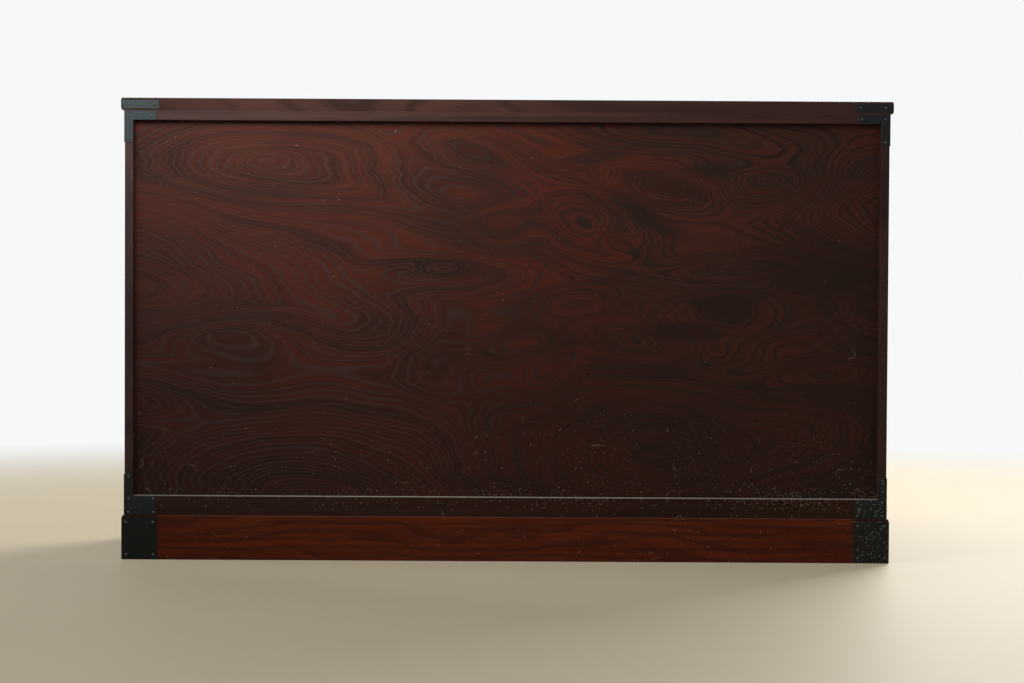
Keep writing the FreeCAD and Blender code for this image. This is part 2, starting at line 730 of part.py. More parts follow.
def handle_post(x, y_face, z, depth):
    """A round post with a cross hole for the pintle, and a shank riveted over a washer inside."""
    root = point(x, y_face - PLATE_THICKNESS, z)
    length = BAIL_STAND + POST_RADIUS - PLATE_THICKNESS
    post = Part.makeCylinder(POST_RADIUS, length, root, Y_AXIS * -1)
    rim = [e for e in post.Edges if e.BoundBox.YMax < root.y - length / 2]
    post = post.makeFillet(POST_ROUND, rim)
    start = point(x - POST_RADIUS, y_face - BAIL_STAND, z)
    bore = Part.makeCylinder(PINTLE_RADIUS + PINTLE_CLEARANCE, 2 * POST_RADIUS, start, X_AXIS)
    run = PLATE_THICKNESS + depth + WASHER_THICKNESS + SHANK_END
    shank = Part.makeCylinder(SHANK_RADIUS, run, root, Y_AXIS)
    head_root = point(x, y_face + depth + WASHER_THICKNESS, z)
    head = Part.makeCylinder(SHANK_RADIUS + SHANK_END, SHANK_END, head_root, Y_AXIS)
    return joined([post.cut(bore), shank, head])


def shank_hole(x, y_face, z, depth):
    """The hole for a post's shank, through the plate, the wood and the washer."""
    start = point(x, y_face - PLATE_THICKNESS, z)
    length = PLATE_THICKNESS + depth + WASHER_THICKNESS
    return Part.makeCylinder(SHANK_RADIUS + SHANK_CLEARANCE, length, start, Y_AXIS)


def handle_mount(plate, posts_x, nails_x, y_face, z, depth):
    """A plate with its posts, their washers and its nails, and the holes that they need in the wood."""
    shank_holes = [shank_hole(x, y_face, z, depth) for x in posts_x]
    places = [(point(x, y_face - PLATE_THICKNESS, z), Y_AXIS * -1) for x in nails_x]
    holes = shank_holes + [nail_hole(*place) for place in places]
    pieces = [plate.cut(holes)]
    for x, hole in zip(posts_x, shank_holes):
        pieces.append(handle_post(x, y_face, z, depth))
        washer = Part.makeCylinder(WASHER_RADIUS, WASHER_THICKNESS, point(x, y_face + depth, z), Y_AXIS)
        pieces.append(washer.cut(hole))
    return pieces + [nail(*place) for place in places], holes


def bail_mount(x, y_face, z, depth):
    """The mount of a two-post handle, on a plate with a blunt point at each end."""
    half = handle_leg_distance(BAIL_SPAN) + BAIL_KNOB + PLATE_MARGIN
    rise = PLATE_HEIGHT / 2
    outline = rounded_wire(
        [
            (x - half - PLATE_POINT, z, PLATE_TIP),
            (x - half, z - rise, PLATE_CORNER),
            (x + half, z - rise, PLATE_CORNER),
            (x + half + PLATE_POINT, z, PLATE_TIP),
            (x + half, z + rise, PLATE_CORNER),
            (x - half, z + rise, PLATE_CORNER),
        ],
        lambda u, v: point(u, y_face, v),
    )
    plate = Part.Face(outline).extrude(Y_AXIS * -PLATE_THICKNESS)
    posts_x = [x + side * BAIL_SPAN / 2 for side in (-1, 1)]
    nails_x = [x + side * half for side in (-1, 1)]
    return handle_mount(plate, posts_x, nails_x, y_face, z, depth)


def ring_mount(x, y_face, z, depth):
    """The mount of the ring handle, on a round rosette."""
    radius = handle_leg_distance(0) + BAIL_KNOB + ROSETTE_MARGIN
    plate = Part.makeCylinder(radius, PLATE_THICKNESS, point(x, y_face, z), Y_AXIS * -1)
    return handle_mount(plate, [x], [], y_face, z, depth)


def drawer_pull_height(opening):
    return (opening[0] + opening[1]) / 2 + BAIL_LIFT


# Sliding glass doors

def slider_pieces(x_low, face, cup_side):
    """A sliding door's frame with its lattice, its glass, and its cup pull."""
    x_high = x_low + SLIDER_WIDTH
    back = face + SLIDER_THICKNESS
    low = DISPLAY_FLOOR + SLIDER_UNDER_GAP
    high = INSIDE_CEILING - SLIDER_OVER_GAP
    pane_left = x_low + SLIDER_STILE
    pane_right = x_high - SLIDER_STILE
    pane_low = low + SLIDER_BOTTOM_RAIL
    pane_high = high - SLIDER_TOP_RAIL
    middle = (face + back) / 2
    glass_front = middle - GLASS_THICKNESS / 2
    glass_back = middle + GLASS_THICKNESS / 2

    def pane(clearance):
        reach = GLASS_GROOVE - GLASS_CLEARANCE + clearance
        return block(
            pane_left - reach, pane_right + reach, glass_front - clearance, glass_back + clearance,
            pane_low - reach, pane_high + reach,
        )

    frame = framed(
        (x_low, x_high), (face, back), (low, high), SLIDER_STILE, SLIDER_TOP_RAIL, SLIDER_BOTTOM_RAIL
    )
    tongue_front = middle - TRACK_TONGUE / 2
    tongue_back = middle + TRACK_TONGUE / 2
    sole = DISPLAY_FLOOR - LOWER_TRACK_DEPTH + TRACK_SOLE_GAP
    crest = INSIDE_CEILING + UPPER_TONGUE_HEIGHT
    spans = [(x_low, pane_left), (pane_right, x_high), (pane_left, pane_right), (pane_left, pane_right)]
    for i, (a, b) in enumerate(spans):
        parts = [frame[i]]
        if i != 2:
            parts.append(block(a, b, tongue_front, tongue_back, sole, low))
        if i != 3:
            parts.append(block(a, b, tongue_front, tongue_back, high, crest))
        frame[i] = joined(parts)
    cup_x = x_low + SLIDER_STILE / 2 if cup_side < 0 else x_high - SLIDER_STILE / 2
    cup_z = (low + high) / 2
    cup, pocket = cup_pull(cup_x, face, cup_z)
    frame = [less(piece, [pane(GLASS_CLEARANCE), pocket]) for piece in frame]
    bars = lattice((pane_left, pane_right), glass_front - GLASS_CLEARANCE, (pane_low, pane_high))
    return frame + [bars], pane(0), cup


def framed(xs, ys, zs, stile, top_rail, bottom_rail):
    """Left stile, right stile, top rail and bottom rail with tenons in the stiles."""
    inner = (xs[0] + stile, xs[1] - stile)
    middle = (ys[0] + ys[1]) / 2
    tenon = (middle - FRAME_TENON_THICKNESS / 2, middle + FRAME_TENON_THICKNESS / 2)
    rails = []
    for low, high in ((zs[1] - top_rail, zs[1]), (zs[0], zs[0] + bottom_rail)):
        body = block(inner[0], inner[1], ys[0], ys[1], low, high)
        reach = (inner[0] - FRAME_TENON_LENGTH, inner[1] + FRAME_TENON_LENGTH)
        margin = FRAME_TENON_MARGIN
        through = block(reach[0], reach[1], tenon[0], tenon[1], low + margin, high - margin)
        rails.append(joined([body, through]))
    left = less(block(xs[0], inner[0], ys[0], ys[1], zs[0], zs[1]), rails)
    right = less(block(inner[1], xs[1], ys[0], ys[1], zs[0], zs[1]), rails)
    return [left, right] + rails


def lattice(xs, back, zs):
    """One upright bar and the cross bars, halved together in front of the glass."""
    front = back - LATTICE_THICKNESS
    middle = (xs[0] + xs[1]) / 2
    half = LATTICE_WIDTH / 2
    bars = [block(middle - half, middle + half, front, back, zs[0], zs[1])]
    for i in range(LATTICE_ROWS):
        level = zs[0] + (zs[1] - zs[0]) * (i + 1) / (LATTICE_ROWS + 1)
        bars.append(block(xs[0], xs[1], front, back, level - half, level + half))
    return joined(bars)


def cup_pull(x, face, z):
    """A round cup let into a stile, and the pocket that takes it."""
    outer = CUP_RADIUS + CUP_WALL
    corners = [
        (0, CUP_DEPTH - CUP_WALL),
        (CUP_RADIUS, CUP_DEPTH - CUP_WALL),
        (CUP_RADIUS, -CUP_FLANGE_THICKNESS),
        (CUP_FLANGE, -CUP_FLANGE_THICKNESS),
        (CUP_FLANGE, 0),
        (outer, 0),
        (outer, CUP_DEPTH),
        (0, CUP_DEPTH),
    ]
    centre = point(x, face, z)
    cup = revolved(corners, centre, Y_AXIS, X_AXIS)
    depth = CUP_DEPTH + GLASS_CLEARANCE
    pocket = Part.makeCylinder(outer + GLASS_CLEARANCE, depth, centre, Y_AXIS)
    return cup, pocket


# Hinged cupboard door

def cupboard_door():
    """The door's frame pieces and its panel."""
    xs = (CUPBOARD_X[0] + DOOR_GAP, CUPBOARD_X[1] - DOOR_GAP)
    zs = (INSIDE_FLOOR + DOOR_GAP, INSIDE_CEILING - DOOR_GAP)
    frame = framed(xs, (FRONT_Y, DOOR_BACK_Y), zs, DOOR_STILE, DOOR_TOP_RAIL, DOOR_BOTTOM_RAIL)
    front = FRONT_Y + DOOR_PANEL_RECESS
    back = front + DOOR_PANEL_THICKNESS

    def panel(clearance):
        reach = DOOR_PANEL_GROOVE - GROOVE_CLEARANCE + clearance
        return block(
            xs[0] + DOOR_STILE - reach, xs[1] - DOOR_STILE + reach, front - clearance, back + clearance,
            zs[0] + DOOR_BOTTOM_RAIL - reach, zs[1] - DOOR_TOP_RAIL + reach,
        )

    return [less(piece, [panel(GROOVE_CLEARANCE)]) for piece in frame], panel(0)


def hinge_levels():
    """Middle heights of the hinges, spread evenly between the end ones."""
    low = INSIDE_FLOOR + HINGE_END_DISTANCE
    high = INSIDE_CEILING - HINGE_END_DISTANCE
    return [low + (high - low) * i / (HINGE_COUNT - 1) for i in range(HINGE_COUNT)]


def hinge_leaf(level, side, bands):
    """A leaf flat on the front, with knuckles over the given bands of the hinge's height."""
    low = level - HINGE_HEIGHT / 2
    near = HINGE_X + side * (HINGE_KNUCKLE_RADIUS + HINGE_NOTCH)
    far = HINGE_X + side * (HINGE_MOVING_WIDTH if side > 0 else HINGE_FIXED_WIDTH)
    high = low + HINGE_HEIGHT
    corner = HINGE_LEAF_CORNER * (side > 0)
    outline = rounded_wire(
        [(near, low, 0), (far, low, corner), (far, high, corner), (near, high, 0)],
        lambda u, v: point(u, FRONT_Y, v),
    )
    pieces = [Part.Face(outline).extrude(Y_AXIS * -HINGE_LEAF_THICKNESS)]
    for a, b in bands:
        start = point(HINGE_X, HINGE_Y, low + a)
        pieces.append(Part.makeCylinder(HINGE_KNUCKLE_RADIUS, b - a, start, Z_AXIS))
        inner = HINGE_X + side * HINGE_PIN_RADIUS / 2
        pieces.append(block(inner, near, FRONT_Y - HINGE_LEAF_THICKNESS, FRONT_Y, low + a, low + b))
    radius = HINGE_PIN_RADIUS + HINGE_PIN_CLEARANCE
    bore = Part.makeCylinder(radius, HINGE_HEIGHT, point(HINGE_X, HINGE_Y, low), Z_AXIS)
    return less(joined(pieces), [bore])


def hinge_nail_places(level, side):
    """Nails of one leaf: a pair on the narrow fixed leaf, and two pairs on the wide one."""
    near = HINGE_X + side * (HINGE_KNUCKLE_RADIUS + HINGE_NOTCH)
    far = HINGE_X + side * (HINGE_MOVING_WIDTH if side > 0 else HINGE_FIXED_WIDTH)
    columns = [near + HINGE_NAIL_MARGIN, far - HINGE_NAIL_MARGIN] if side > 0 else [(near + far) / 2]
    rows = [level - HINGE_HEIGHT / 2 + HINGE_NAIL_MARGIN, level + HINGE_HEIGHT / 2 - HINGE_NAIL_MARGIN]
    return [(point(x, FRONT_Y - HINGE_LEAF_THICKNESS, z), Y_AXIS * -1) for x in columns for z in rows]


def hinge_bands():
    """Knuckle bands of the fixed and moving leaves, with a small gap between neighbours."""
    third = HINGE_HEIGHT / 3
    play = HINGE_NOTCH / 2
    fixed = [(0, third - play), (2 * third + play, HINGE_HEIGHT)]
    moving = [(third + play, 2 * third - play)]
    return fixed, moving


def hinge_pin(level):
    low = level - HINGE_HEIGHT / 2
    pin = Part.makeCylinder(HINGE_PIN_RADIUS, HINGE_HEIGHT, point(HINGE_X, HINGE_Y, low), Z_AXIS)
    head = HINGE_PIN_RADIUS + HINGE_PIN_CLEARANCE + HINGE_NOTCH
    caps = [Part.makeCylinder(head, HINGE_NOTCH, point(HINGE_X, HINGE_Y, low - HINGE_NOTCH), Z_AXIS)]
    caps.append(Part.makeCylinder(head, HINGE_NOTCH, point(HINGE_X, HINGE_Y, low + HINGE_HEIGHT), Z_AXIS))
    return joined([pin] + caps)


def strike_plate():
    """A steel plate on the back of the door, in front of the magnets."""
    right = CUPBOARD_X[1] - DOOR_GAP - STRIKE_MARGIN
    top = INSIDE_CEILING - CATCH_DROP
    back = DOOR_BACK_Y + STRIKE_THICKNESS
    return block(right - CATCH_DEPTH, right, DOOR_BACK_Y, back, top - CATCH_LENGTH, top)


def magnet_catch():
    """A magnet block fixed upright on the partition, just behind the strike plate."""
    wall = CUPBOARD_X[1]
    front = DOOR_BACK_Y + STRIKE_THICKNESS + CATCH_AIR
    top = INSIDE_CEILING - CATCH_DROP
    return block(wall - CATCH_DEPTH, wall, front, front + CATCH_HEIGHT, top - CATCH_LENGTH, top)


# Iron fittings and nails

def corner_bracket(side, rear, arm, band, upright, z_edge, z_way):
    """An L plate on the end face and one on the side face, joined along the corner."""
    x_face = side * CARCASS_HALF
    x_out = side * (CARCASS_HALF + FITTING_THICKNESS)
    y_face = BACK_Y if rear > 0 else FRONT_Y
    y_out = y_face + rear * FITTING_THICKNESS
    z_band = z_edge + z_way * band
    z_end = z_edge + z_way * upright
    plates = [
        block(x_out, side * (CARCASS_HALF - arm), y_face, y_out, z_edge, z_band),
        block(x_out, side * INSIDE_HALF, y_face, y_out, z_edge, z_end),
        block(x_face, x_out, y_out, y_face - rear * arm, z_edge, z_band),
        block(x_face, x_out, y_out, y_face - rear * SIDE_THICKNESS, z_edge, z_end),
    ]
    return joined(plates)


def base_corner_cap(side, rear):
    """A plate bent round one corner of the base."""
    x_face = side * BASE_HALF
    x_out = side * (BASE_HALF + FITTING_THICKNESS)
    y_face = BASE_BACK_Y if rear > 0 else BASE_FRONT_Y
    y_out = y_face + rear * FITTING_THICKNESS
    low = BASE_CAP_RISE
    high = BASE_CAP_RISE + BASE_CAP_HEIGHT
    on_end = block(x_out, side * (BASE_HALF - BASE_CAP_LENGTH), y_face, y_out, low, high)
    on_side = block(x_face, x_out, y_out, y_face - rear * BASE_CAP_LENGTH, low, high)
    return joined([on_end, on_side])


def nail(place, outward):
    """A domed nail whose head sits on a plate at place, with its shank driven inwards."""
    radial = Z_AXIS if abs(outward.z) < 0.5 else X_AXIS
    rim = place + radial * NAIL_HEAD_RADIUS
    crown = place + outward * NAIL_HEAD_HEIGHT
    dome = (NAIL_HEAD_RADIUS**2 + NAIL_HEAD_HEIGHT**2) / (2 * NAIL_HEAD_HEIGHT)
    half_angle = math.atan2(NAIL_HEAD_HEIGHT, NAIL_HEAD_RADIUS)
    centre = crown - outward * dome
    bulge = centre + radial * dome * math.sin(half_angle) + outward * dome * math.cos(half_angle)
    tip = place - outward * nail_shank_length()
    edges = [
        Part.Arc(crown, bulge, rim).toShape(),
        Part.makeLine(rim, place + radial * NAIL_SHANK_RADIUS),
        Part.makeLine(place + radial * NAIL_SHANK_RADIUS, tip + radial * NAIL_SHANK_RADIUS),
        Part.makeLine(tip + radial * NAIL_SHANK_RADIUS, tip),
        Part.makeLine(tip, crown),
    ]
    return Part.Face(Part.Wire(edges)).revolve(place, outward, 360)


def nail_shank_length():
    """Short enough for the nails of two faces to miss each other behind a corner."""
    return FITTING_THICKNESS + NAIL_FROM_CORNER - NAIL_SHANK_RADIUS - NAIL_TIP_GAP


def nail_hole(place, outward):
    """The hole that a nail makes in its plate and in the wood behind."""
    radius = NAIL_SHANK_RADIUS + NAIL_HOLE_CLEARANCE
    depth = nail_shank_length() + NAIL_HOLE_CLEARANCE
    return Part.makeCylinder(radius, depth, place, outward * -1)


def corner_nail_places(side, rear, x_face, y_face, spots):
    """Places on both faces of a corner fitting. A spot is a distance from the corner and a height."""
    places = []
    for distance, height in spots:
        on_end = point(x_face - side * distance, y_face + rear * FITTING_THICKNESS, height)
        places.append((on_end, Y_AXIS * rear))
        on_side = point(x_face + side * FITTING_THICKNESS, y_face - rear * distance, height)
        places.append((on_side, X_AXIS * side))
    return places


def nail_places():
    """Where every nail of the corner fittings goes, and which way its head faces."""
    corner = NAIL_FROM_CORNER
    cap_z = (CARCASS_CROWN + OVERALL_HEIGHT) / 2
    band_z = CARCASS_CROWN - (CARCASS_TOP_THICKNESS + BRACKET_EDGE) / 2
    upright_z = CARCASS_CROWN - BRACKET_EDGE - UPPER_UPRIGHT + UPPER_NAIL_MARGIN
    low_z = CARCASS_BASE + BRACKET_EDGE + LOWER_NAIL_MARGIN
    shoulder_z = INSIDE_FLOOR - LOWER_NAIL_MARGIN
    lower_top_z = CARCASS_BASE + BRACKET_EDGE + LOWER_UPRIGHT - LOWER_NAIL_MARGIN
    base_low_z = BASE_CAP_RISE + BASE_NAIL_MARGIN
    base_high_z = BASE_CAP_RISE + BASE_CAP_HEIGHT - BASE_NAIL_MARGIN
    cap = [(CAP_NAIL_FROM_CORNER, cap_z), (CAP_LENGTH - CAP_NAIL_MARGIN, cap_z)]
    upper = [(corner, band_z), (UPPER_ARM - UPPER_NAIL_MARGIN, band_z), (corner, upright_z)]
    lower = [(d, z) for d in (corner, LOWER_ARM - LOWER_NAIL_MARGIN) for z in (low_z, shoulder_z)]
    lower.append((corner, lower_top_z))
    base_columns = (corner, BASE_CAP_LENGTH - BASE_NAIL_MARGIN)
    base = [(d, z) for d in base_columns for z in (base_low_z, base_high_z)]
    places = []
    for side in (-1, 1):
        for rear in (-1, 1):
            carcass_y = BACK_Y if rear > 0 else FRONT_Y
            top_y = BACK_Y if rear > 0 else FRONT_Y - TOP_FRONT_OVERHANG
            base_y = BASE_BACK_Y if rear > 0 else BASE_FRONT_Y
            places += corner_nail_places(side, rear, side * TOP_WIDTH / 2, top_y, cap)
            places += corner_nail_places(side, rear, side * CARCASS_HALF, carcass_y, upper + lower)
            places += corner_nail_places(side, rear, side * BASE_HALF, base_y, base)
    return places


def drilled(solid, holes):
    """A solid with those of the holes cut out that reach it."""
    box = solid.BoundBox
    return less(solid, [hole for hole in holes if hole.BoundBox.intersect(box)])


# Assembly

def carcass_nodes():
    nodes = {}
    front_rail = (FRONT_Y, FRONT_Y + BOTTOM_RAIL_DEPTH)
    back_rail = (BACK_Y - BOTTOM_RAIL_DEPTH, BACK_Y)
    groove = back_panel_body(GROOVE_CLEARANCE)
    floor_panel = bottom_panel_body()
    left_x = CUPBOARD_X[1]
    right_x = DISPLAY_X[1]
    stack_levels = [opening[0] for opening in STACK[:-1]]
    rail_tongues = [t for top in stack_levels for t in drawer_rail_tongues(top)]
    cupboard_front = DOOR_BACK_Y + SHELF_FRONT_GAP + CATCH_HEIGHT
    cupboard_levels = shelf_levels(INSIDE_FLOOR, INSIDE_CEILING, CUPBOARD_SHELVES)
    display_level = shelf_levels(DISPLAY_FLOOR, INSIDE_CEILING, 1)[0]
    pin_holes = shelf_pins(DISPLAY_X, DISPLAY_SHELF_FRONT_Y, display_level, PIN_CLEARANCE)
    pins = shelf_pins(DISPLAY_X, DISPLAY_SHELF_FRONT_Y, display_level, 0)
    for level in cupboard_levels:
        pin_holes += shelf_pins(CUPBOARD_X, cupboard_front, level, PIN_CLEARANCE)
        pins += shelf_pins(CUPBOARD_X, cupboard_front, level, 0)
    side_cuts = carcass_top_tongues() + rail_tenons(*front_rail) + rail_tenons(*back_rail)
    side_cuts += rail_tongues + pin_holes + [groove, floor_panel]
    nodes["left_side_panel"] = [side_panel(-1, side_cuts)]
    nodes["right_side_panel"] = [side_panel(1, side_cuts)]
    crown = block(-INSIDE_HALF, INSIDE_HALF, FRONT_Y, BACK_Y, INSIDE_CEILING, CARCASS_CROWN)
    partition_joints = partition_tongues(left_x) + partition_tongues(right_x)
    upper_tracks = track_grooves(INSIDE_CEILING, INSIDE_CEILING + UPPER_TRACK_DEPTH)
    crown_cuts = partition_joints + upper_tracks + [groove]
    nodes["carcass_top_panel"] = [less(joined([crown] + carcass_top_tongues()), crown_cuts)]
    nodes["carcass_bottom_panel"] = [less(floor_panel, partition_joints)]
    nodes["carcass_bottom_rails"] = [
        bottom_rail(*front_rail, [floor_panel]),
        bottom_rail(*back_rail, [floor_panel, groove]),
    ]
    wall_cuts = display_floor_tongues() + rail_tongues + pin_holes
    nodes["left_partition"] = [partition(left_x, wall_cuts)]
    nodes["right_partition"] = [partition(right_x, wall_cuts)]
    nodes["back_panel"] = [back_panel_body(0)]
    nodes["display_floor"] = [display_floor()]
    nodes["display_shelf"] = [shelf(DISPLAY_X, DISPLAY_SHELF_FRONT_Y, display_level)]
    nodes["cupboard_shelves"] = [shelf(CUPBOARD_X, cupboard_front, z) for z in cupboard_levels]
    nodes["shelf_pins"] = pins
    nodes["drawer_rails"] = [drawer_rail(top) for top in stack_levels]
    nodes["drawer_runners"] = [r for top in stack_levels for r in drawer_runners(top)]
    for name, board in base_boards().items():
        nodes[f"base_{name}_board"] = [board]
    corners = [(side, rear) for side in (-1, 1) for rear in (-1, 1)]
    nodes["base_corner_blocks"] = [base_corner_block(*c) for c in corners]
    return nodes


def fitting_nodes():
    nodes = {}
    corners = [(side, rear) for side in (-1, 1) for rear in (-1, 1)]
    board = top_board_form(0)
    skin = top_board_form(FITTING_THICKNESS).cut(board)
    nodes["top_board"] = [board]
    nodes["top_board_corner_caps"] = [top_board_cap(*c, skin) for c in corners]
    upper = (UPPER_ARM, CARCASS_TOP_THICKNESS - BRACKET_EDGE, UPPER_UPRIGHT)
    upper_edge = CARCASS_CROWN - BRACKET_EDGE
    nodes["upper_corner_brackets"] = [corner_bracket(*c, *upper, upper_edge, -1) for c in corners]
    lower = (LOWER_ARM, BOTTOM_RAIL_HEIGHT - BRACKET_EDGE, LOWER_UPRIGHT)
    lower_edge = CARCASS_BASE + BRACKET_EDGE
    nodes["lower_corner_brackets"] = [corner_bracket(*c, *lower, lower_edge, 1) for c in corners]
    nodes["base_corner_caps"] = [base_corner_cap(*c) for c in corners]
    return nodes


def drawer_nodes():
    nodes = {}
    pivot_y = FRONT_Y - BAIL_STAND
    middle = (DRAWER_BAY_X[0] + DRAWER_BAY_X[1]) / 2
    for i, opening in enumerate(STACK):
        name = f"drawer_{i + 1}"
        face, box = drawer_pieces(DRAWER_BAY_X, opening)
        height = drawer_pull_height(opening)
        mount, holes = bail_mount(middle, FRONT_Y, height, DRAWER_FRONT_THICKNESS)
        nodes[f"{name}_front"] = [less(face, holes)]
        nodes[f"{name}_box"] = box
        nodes[f"{name}_handle_plate"] = mount
        nodes[f"{name}_handle"] = [bail_handle(middle, pivot_y, height)]
    opening = (INSIDE_FLOOR, DISPLAY_BASE)
    face, box = drawer_pieces(DISPLAY_X, opening)
    height = drawer_pull_height(opening)
    centre = (DISPLAY_X[0] + DISPLAY_X[1]) / 2
    reach = (DISPLAY_X[1] - DISPLAY_X[0]) / 2 * WIDE_PULL_SHARE
    mounts = []
    for word, side in (("left", -1), ("right", 1)):
        x = centre + side * reach
        mount, holes = bail_mount(x, FRONT_Y, height, DRAWER_FRONT_THICKNESS)
        mounts += mount
        face = less(face, holes)
        nodes[f"wide_drawer_{word}_handle"] = [bail_handle(x, pivot_y, height)]
    nodes["wide_drawer_front"] = [face]
    nodes["wide_drawer_box"] = box
    nodes["wide_drawer_handle_plates"] = mounts
    return nodes


def door_nodes():
    nodes = {}
    left_x = DISPLAY_X[0] + SLIDER_END_GAP
    right_x = DISPLAY_X[1] - SLIDER_END_GAP - SLIDER_WIDTH
    doors = (("left", left_x, SLIDER_REAR_Y, -1), ("right", right_x, SLIDER_FRONT_Y, 1))
    for word, x, face, cup_side in doors:
        frame, glass, cup = slider_pieces(x, face, cup_side)
        nodes[f"{word}_glass_door_frame"] = frame
        nodes[f"{word}_glass_door_pane"] = [glass]
        nodes[f"{word}_glass_door_cup_pull"] = [cup]
    frame, panel = cupboard_door()
    pull_x = CUPBOARD_X[1] - DOOR_GAP - DOOR_STILE / 2
    pull_z = (INSIDE_FLOOR + INSIDE_CEILING) / 2
    mount, holes = ring_mount(pull_x, FRONT_Y, pull_z, DOOR_THICKNESS)
    moving_places = [place for z in hinge_levels() for place in hinge_nail_places(z, 1)]
    holes += [nail_hole(*place) for place in moving_places]
    nodes["cupboard_door_frame"] = [drilled(piece, holes) for piece in frame]
    nodes["cupboard_door_panel"] = [panel]
    nodes["cupboard_handle_plate"] = mount
    nodes["cupboard_handle"] = [ring_handle(pull_x, FRONT_Y - BAIL_STAND, pull_z)]
    fixed, moving = hinge_bands()
    levels = hinge_levels()
    fixed_places = [place for z in levels for place in hinge_nail_places(z, -1)]
    moving_holes = [nail_hole(*place) for place in moving_places]
    fixed_holes = [nail_hole(*place) for place in fixed_places]
    fixed_leaves = [drilled(hinge_leaf(z, -1, fixed), fixed_holes) for z in levels]
    moving_leaves = [drilled(hinge_leaf(z, 1, moving), moving_holes) for z in levels]
    fixed_nails = [nail(*place) for place in fixed_places]
    nodes["cupboard_hinge_fixed_leaves"] = fixed_leaves + [hinge_pin(z) for z in levels] + fixed_nails
    nodes["cupboard_hinge_door_leaves"] = moving_leaves + [nail(*place) for place in moving_places]
    nodes["cupboard_strike_plate"] = [strike_plate()]
    nodes["cupboard_magnet_catch"] = [magnet_catch()]
    return nodes


def main():
    os.makedirs("parts", exist_ok=True)
    nodes = {}
    for group in (carcass_nodes(), fitting_nodes(), drawer_nodes(), door_nodes()):
        nodes.update(group)
    places = nail_places()
    nail_holes = [nail_hole(*place) for place in places]
    nail_holes += [nail_hole(*place) for z in hinge_levels() for place in hinge_nail_places(z, -1)]
    for name in NAILED_NODES:
        nodes[name] = [drilled(solid, nail_holes) for solid in nodes[name]]
    nodes["fitting_nails"] = [nail(*place) for place in places]
    for name, solids in nodes.items():
        flat = [s for shape in solids for s in shape.Solids]
        shape = flat[0] if len(flat) == 1 else Part.makeCompound(flat)
        shape.exportStep(f"parts/{name}.step")
    print(len(nodes), "nodes,", sum(len(s) for s in nodes.values()), "pieces")


main()
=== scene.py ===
import functools
import math

import bpy
from mathutils import Matrix, Vector

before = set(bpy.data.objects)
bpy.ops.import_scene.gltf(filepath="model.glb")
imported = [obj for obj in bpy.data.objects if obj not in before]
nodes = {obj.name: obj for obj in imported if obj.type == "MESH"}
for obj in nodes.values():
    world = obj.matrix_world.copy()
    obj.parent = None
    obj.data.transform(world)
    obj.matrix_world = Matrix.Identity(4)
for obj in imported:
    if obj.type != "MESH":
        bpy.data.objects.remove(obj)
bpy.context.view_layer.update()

# Camera, behind the sideboard as in the photo. Angles are in degrees, and the pitch is downwards.
CAMERA_PLACE = (-0.0126, 4.93, 0.595)
CAMERA_PITCH = 1.4345
CAMERA_ROLL = 0.32
CAMERA_LENS = 76.33

# Light and surroundings
PALE = (0.93, 0.94, 0.94)
AMBIENT = (0.86, 0.92, 1.0)
AMBIENT_STRENGTH = 0.18
FLOOR_SIZE = 14.0
FLOOR_COLOUR = (0.56, 0.475, 0.335)
FLOOR_CENTRE = (0.0, 0.4, 0.0)
FLOOR_FADE = (1.5, 4.2)
FLOOR_GLOW = 0.3

# Ranges over which the materials change, and the radii of their softened edges, in metres
BACK_FACE = (0.1995, 0.2025)
BASE_CAP_REACH = (0.745, 0.765)
BASE_CAP_TOP = (0.089, 0.0925)
WOOD_EDGE = 0.0015
BASE_EDGE = 0.0012
PLAIN_EDGE = 0.0010
IRON_EDGE = 0.0013

# Dust. Specks: cells per metre, size, and how thickly they lie. Hairs: the same with length and width.
# Each pair of heights goes from clean to dusty.
LINT = (0.55, 0.47, 0.37)
DUST_SPECKS = ((70.0, 0.0012, 2.4), (130.0, 0.0009, 4.8))
DUST_HAIRS = ((20.0, 0.0150, 0.00035, 0.40), (60.0, 0.0040, 0.0004, 0.45))
FUZZ_SPECKS = (260.0, 0.0011)
FUZZ_HAIRS = (120.0, 0.0030, 0.0005)
PANEL_DUST = (0.36, 0.16)
PANEL_FUZZ = (0.170, 0.142)
RAIL_DUST = (0.08, 0.16)
RAIL_FUZZ = (0.108, 0.138)
BASE_DUST = (0.14, 0.02)

# Wood: dim ground, bright ground and line of figured boards, and dark and light tones of plain ones
RED_WOOD = ((0.041, 0.0158, 0.0100), (0.090, 0.0200, 0.0112), (0.025, 0.0142, 0.0102))
BROWN_WOOD = ((0.040, 0.0178, 0.0138), (0.066, 0.0285, 0.0220), (0.030, 0.0145, 0.0115))
BASE_WOOD = ((0.094, 0.0200, 0.0085), (0.160, 0.0305, 0.0118), (0.058, 0.0175, 0.0100))
CASE_ACROSS = ((0.036, 0.0165, 0.0130), (0.068, 0.0300, 0.0235))
CASE_UPRIGHT = ((0.036, 0.0150, 0.0110), (0.066, 0.0270, 0.0200))
CASE_RAILS = ((0.026, 0.0090, 0.0048), (0.046, 0.0165, 0.0085))
PLAIN_WOOD = ((0.36, 0.25, 0.15), (0.52, 0.40, 0.26))
# Edges lightened by wear and a painted highlight
RUBBED_AND_HIGHLIT_WOOD = (0.125, 0.062, 0.046)
# Darker tone for the strip of base wood just above the corner caps
BASE_DARKER_ABOVE_CAPS = (0.016, 0.0075, 0.0050)

# The back panel: its eye stain, painted shade low down, a cool painted veil of reflection to the right,
# painted sheen in its lines to the left, and how much closer its rings are than the figure's heights say
PAINTED_SHADE_LOW = (0.017, 0.0080, 0.0042)
PAINTED_VEIL_RIGHT = (0.045, 0.0300, 0.0240)
EYE_STAIN = (0.016, 0.0110, 0.0085)
PAINTED_LINE_SHEEN = (0.057, 0.0285, 0.0222)
RING_DENSITY = 1.45

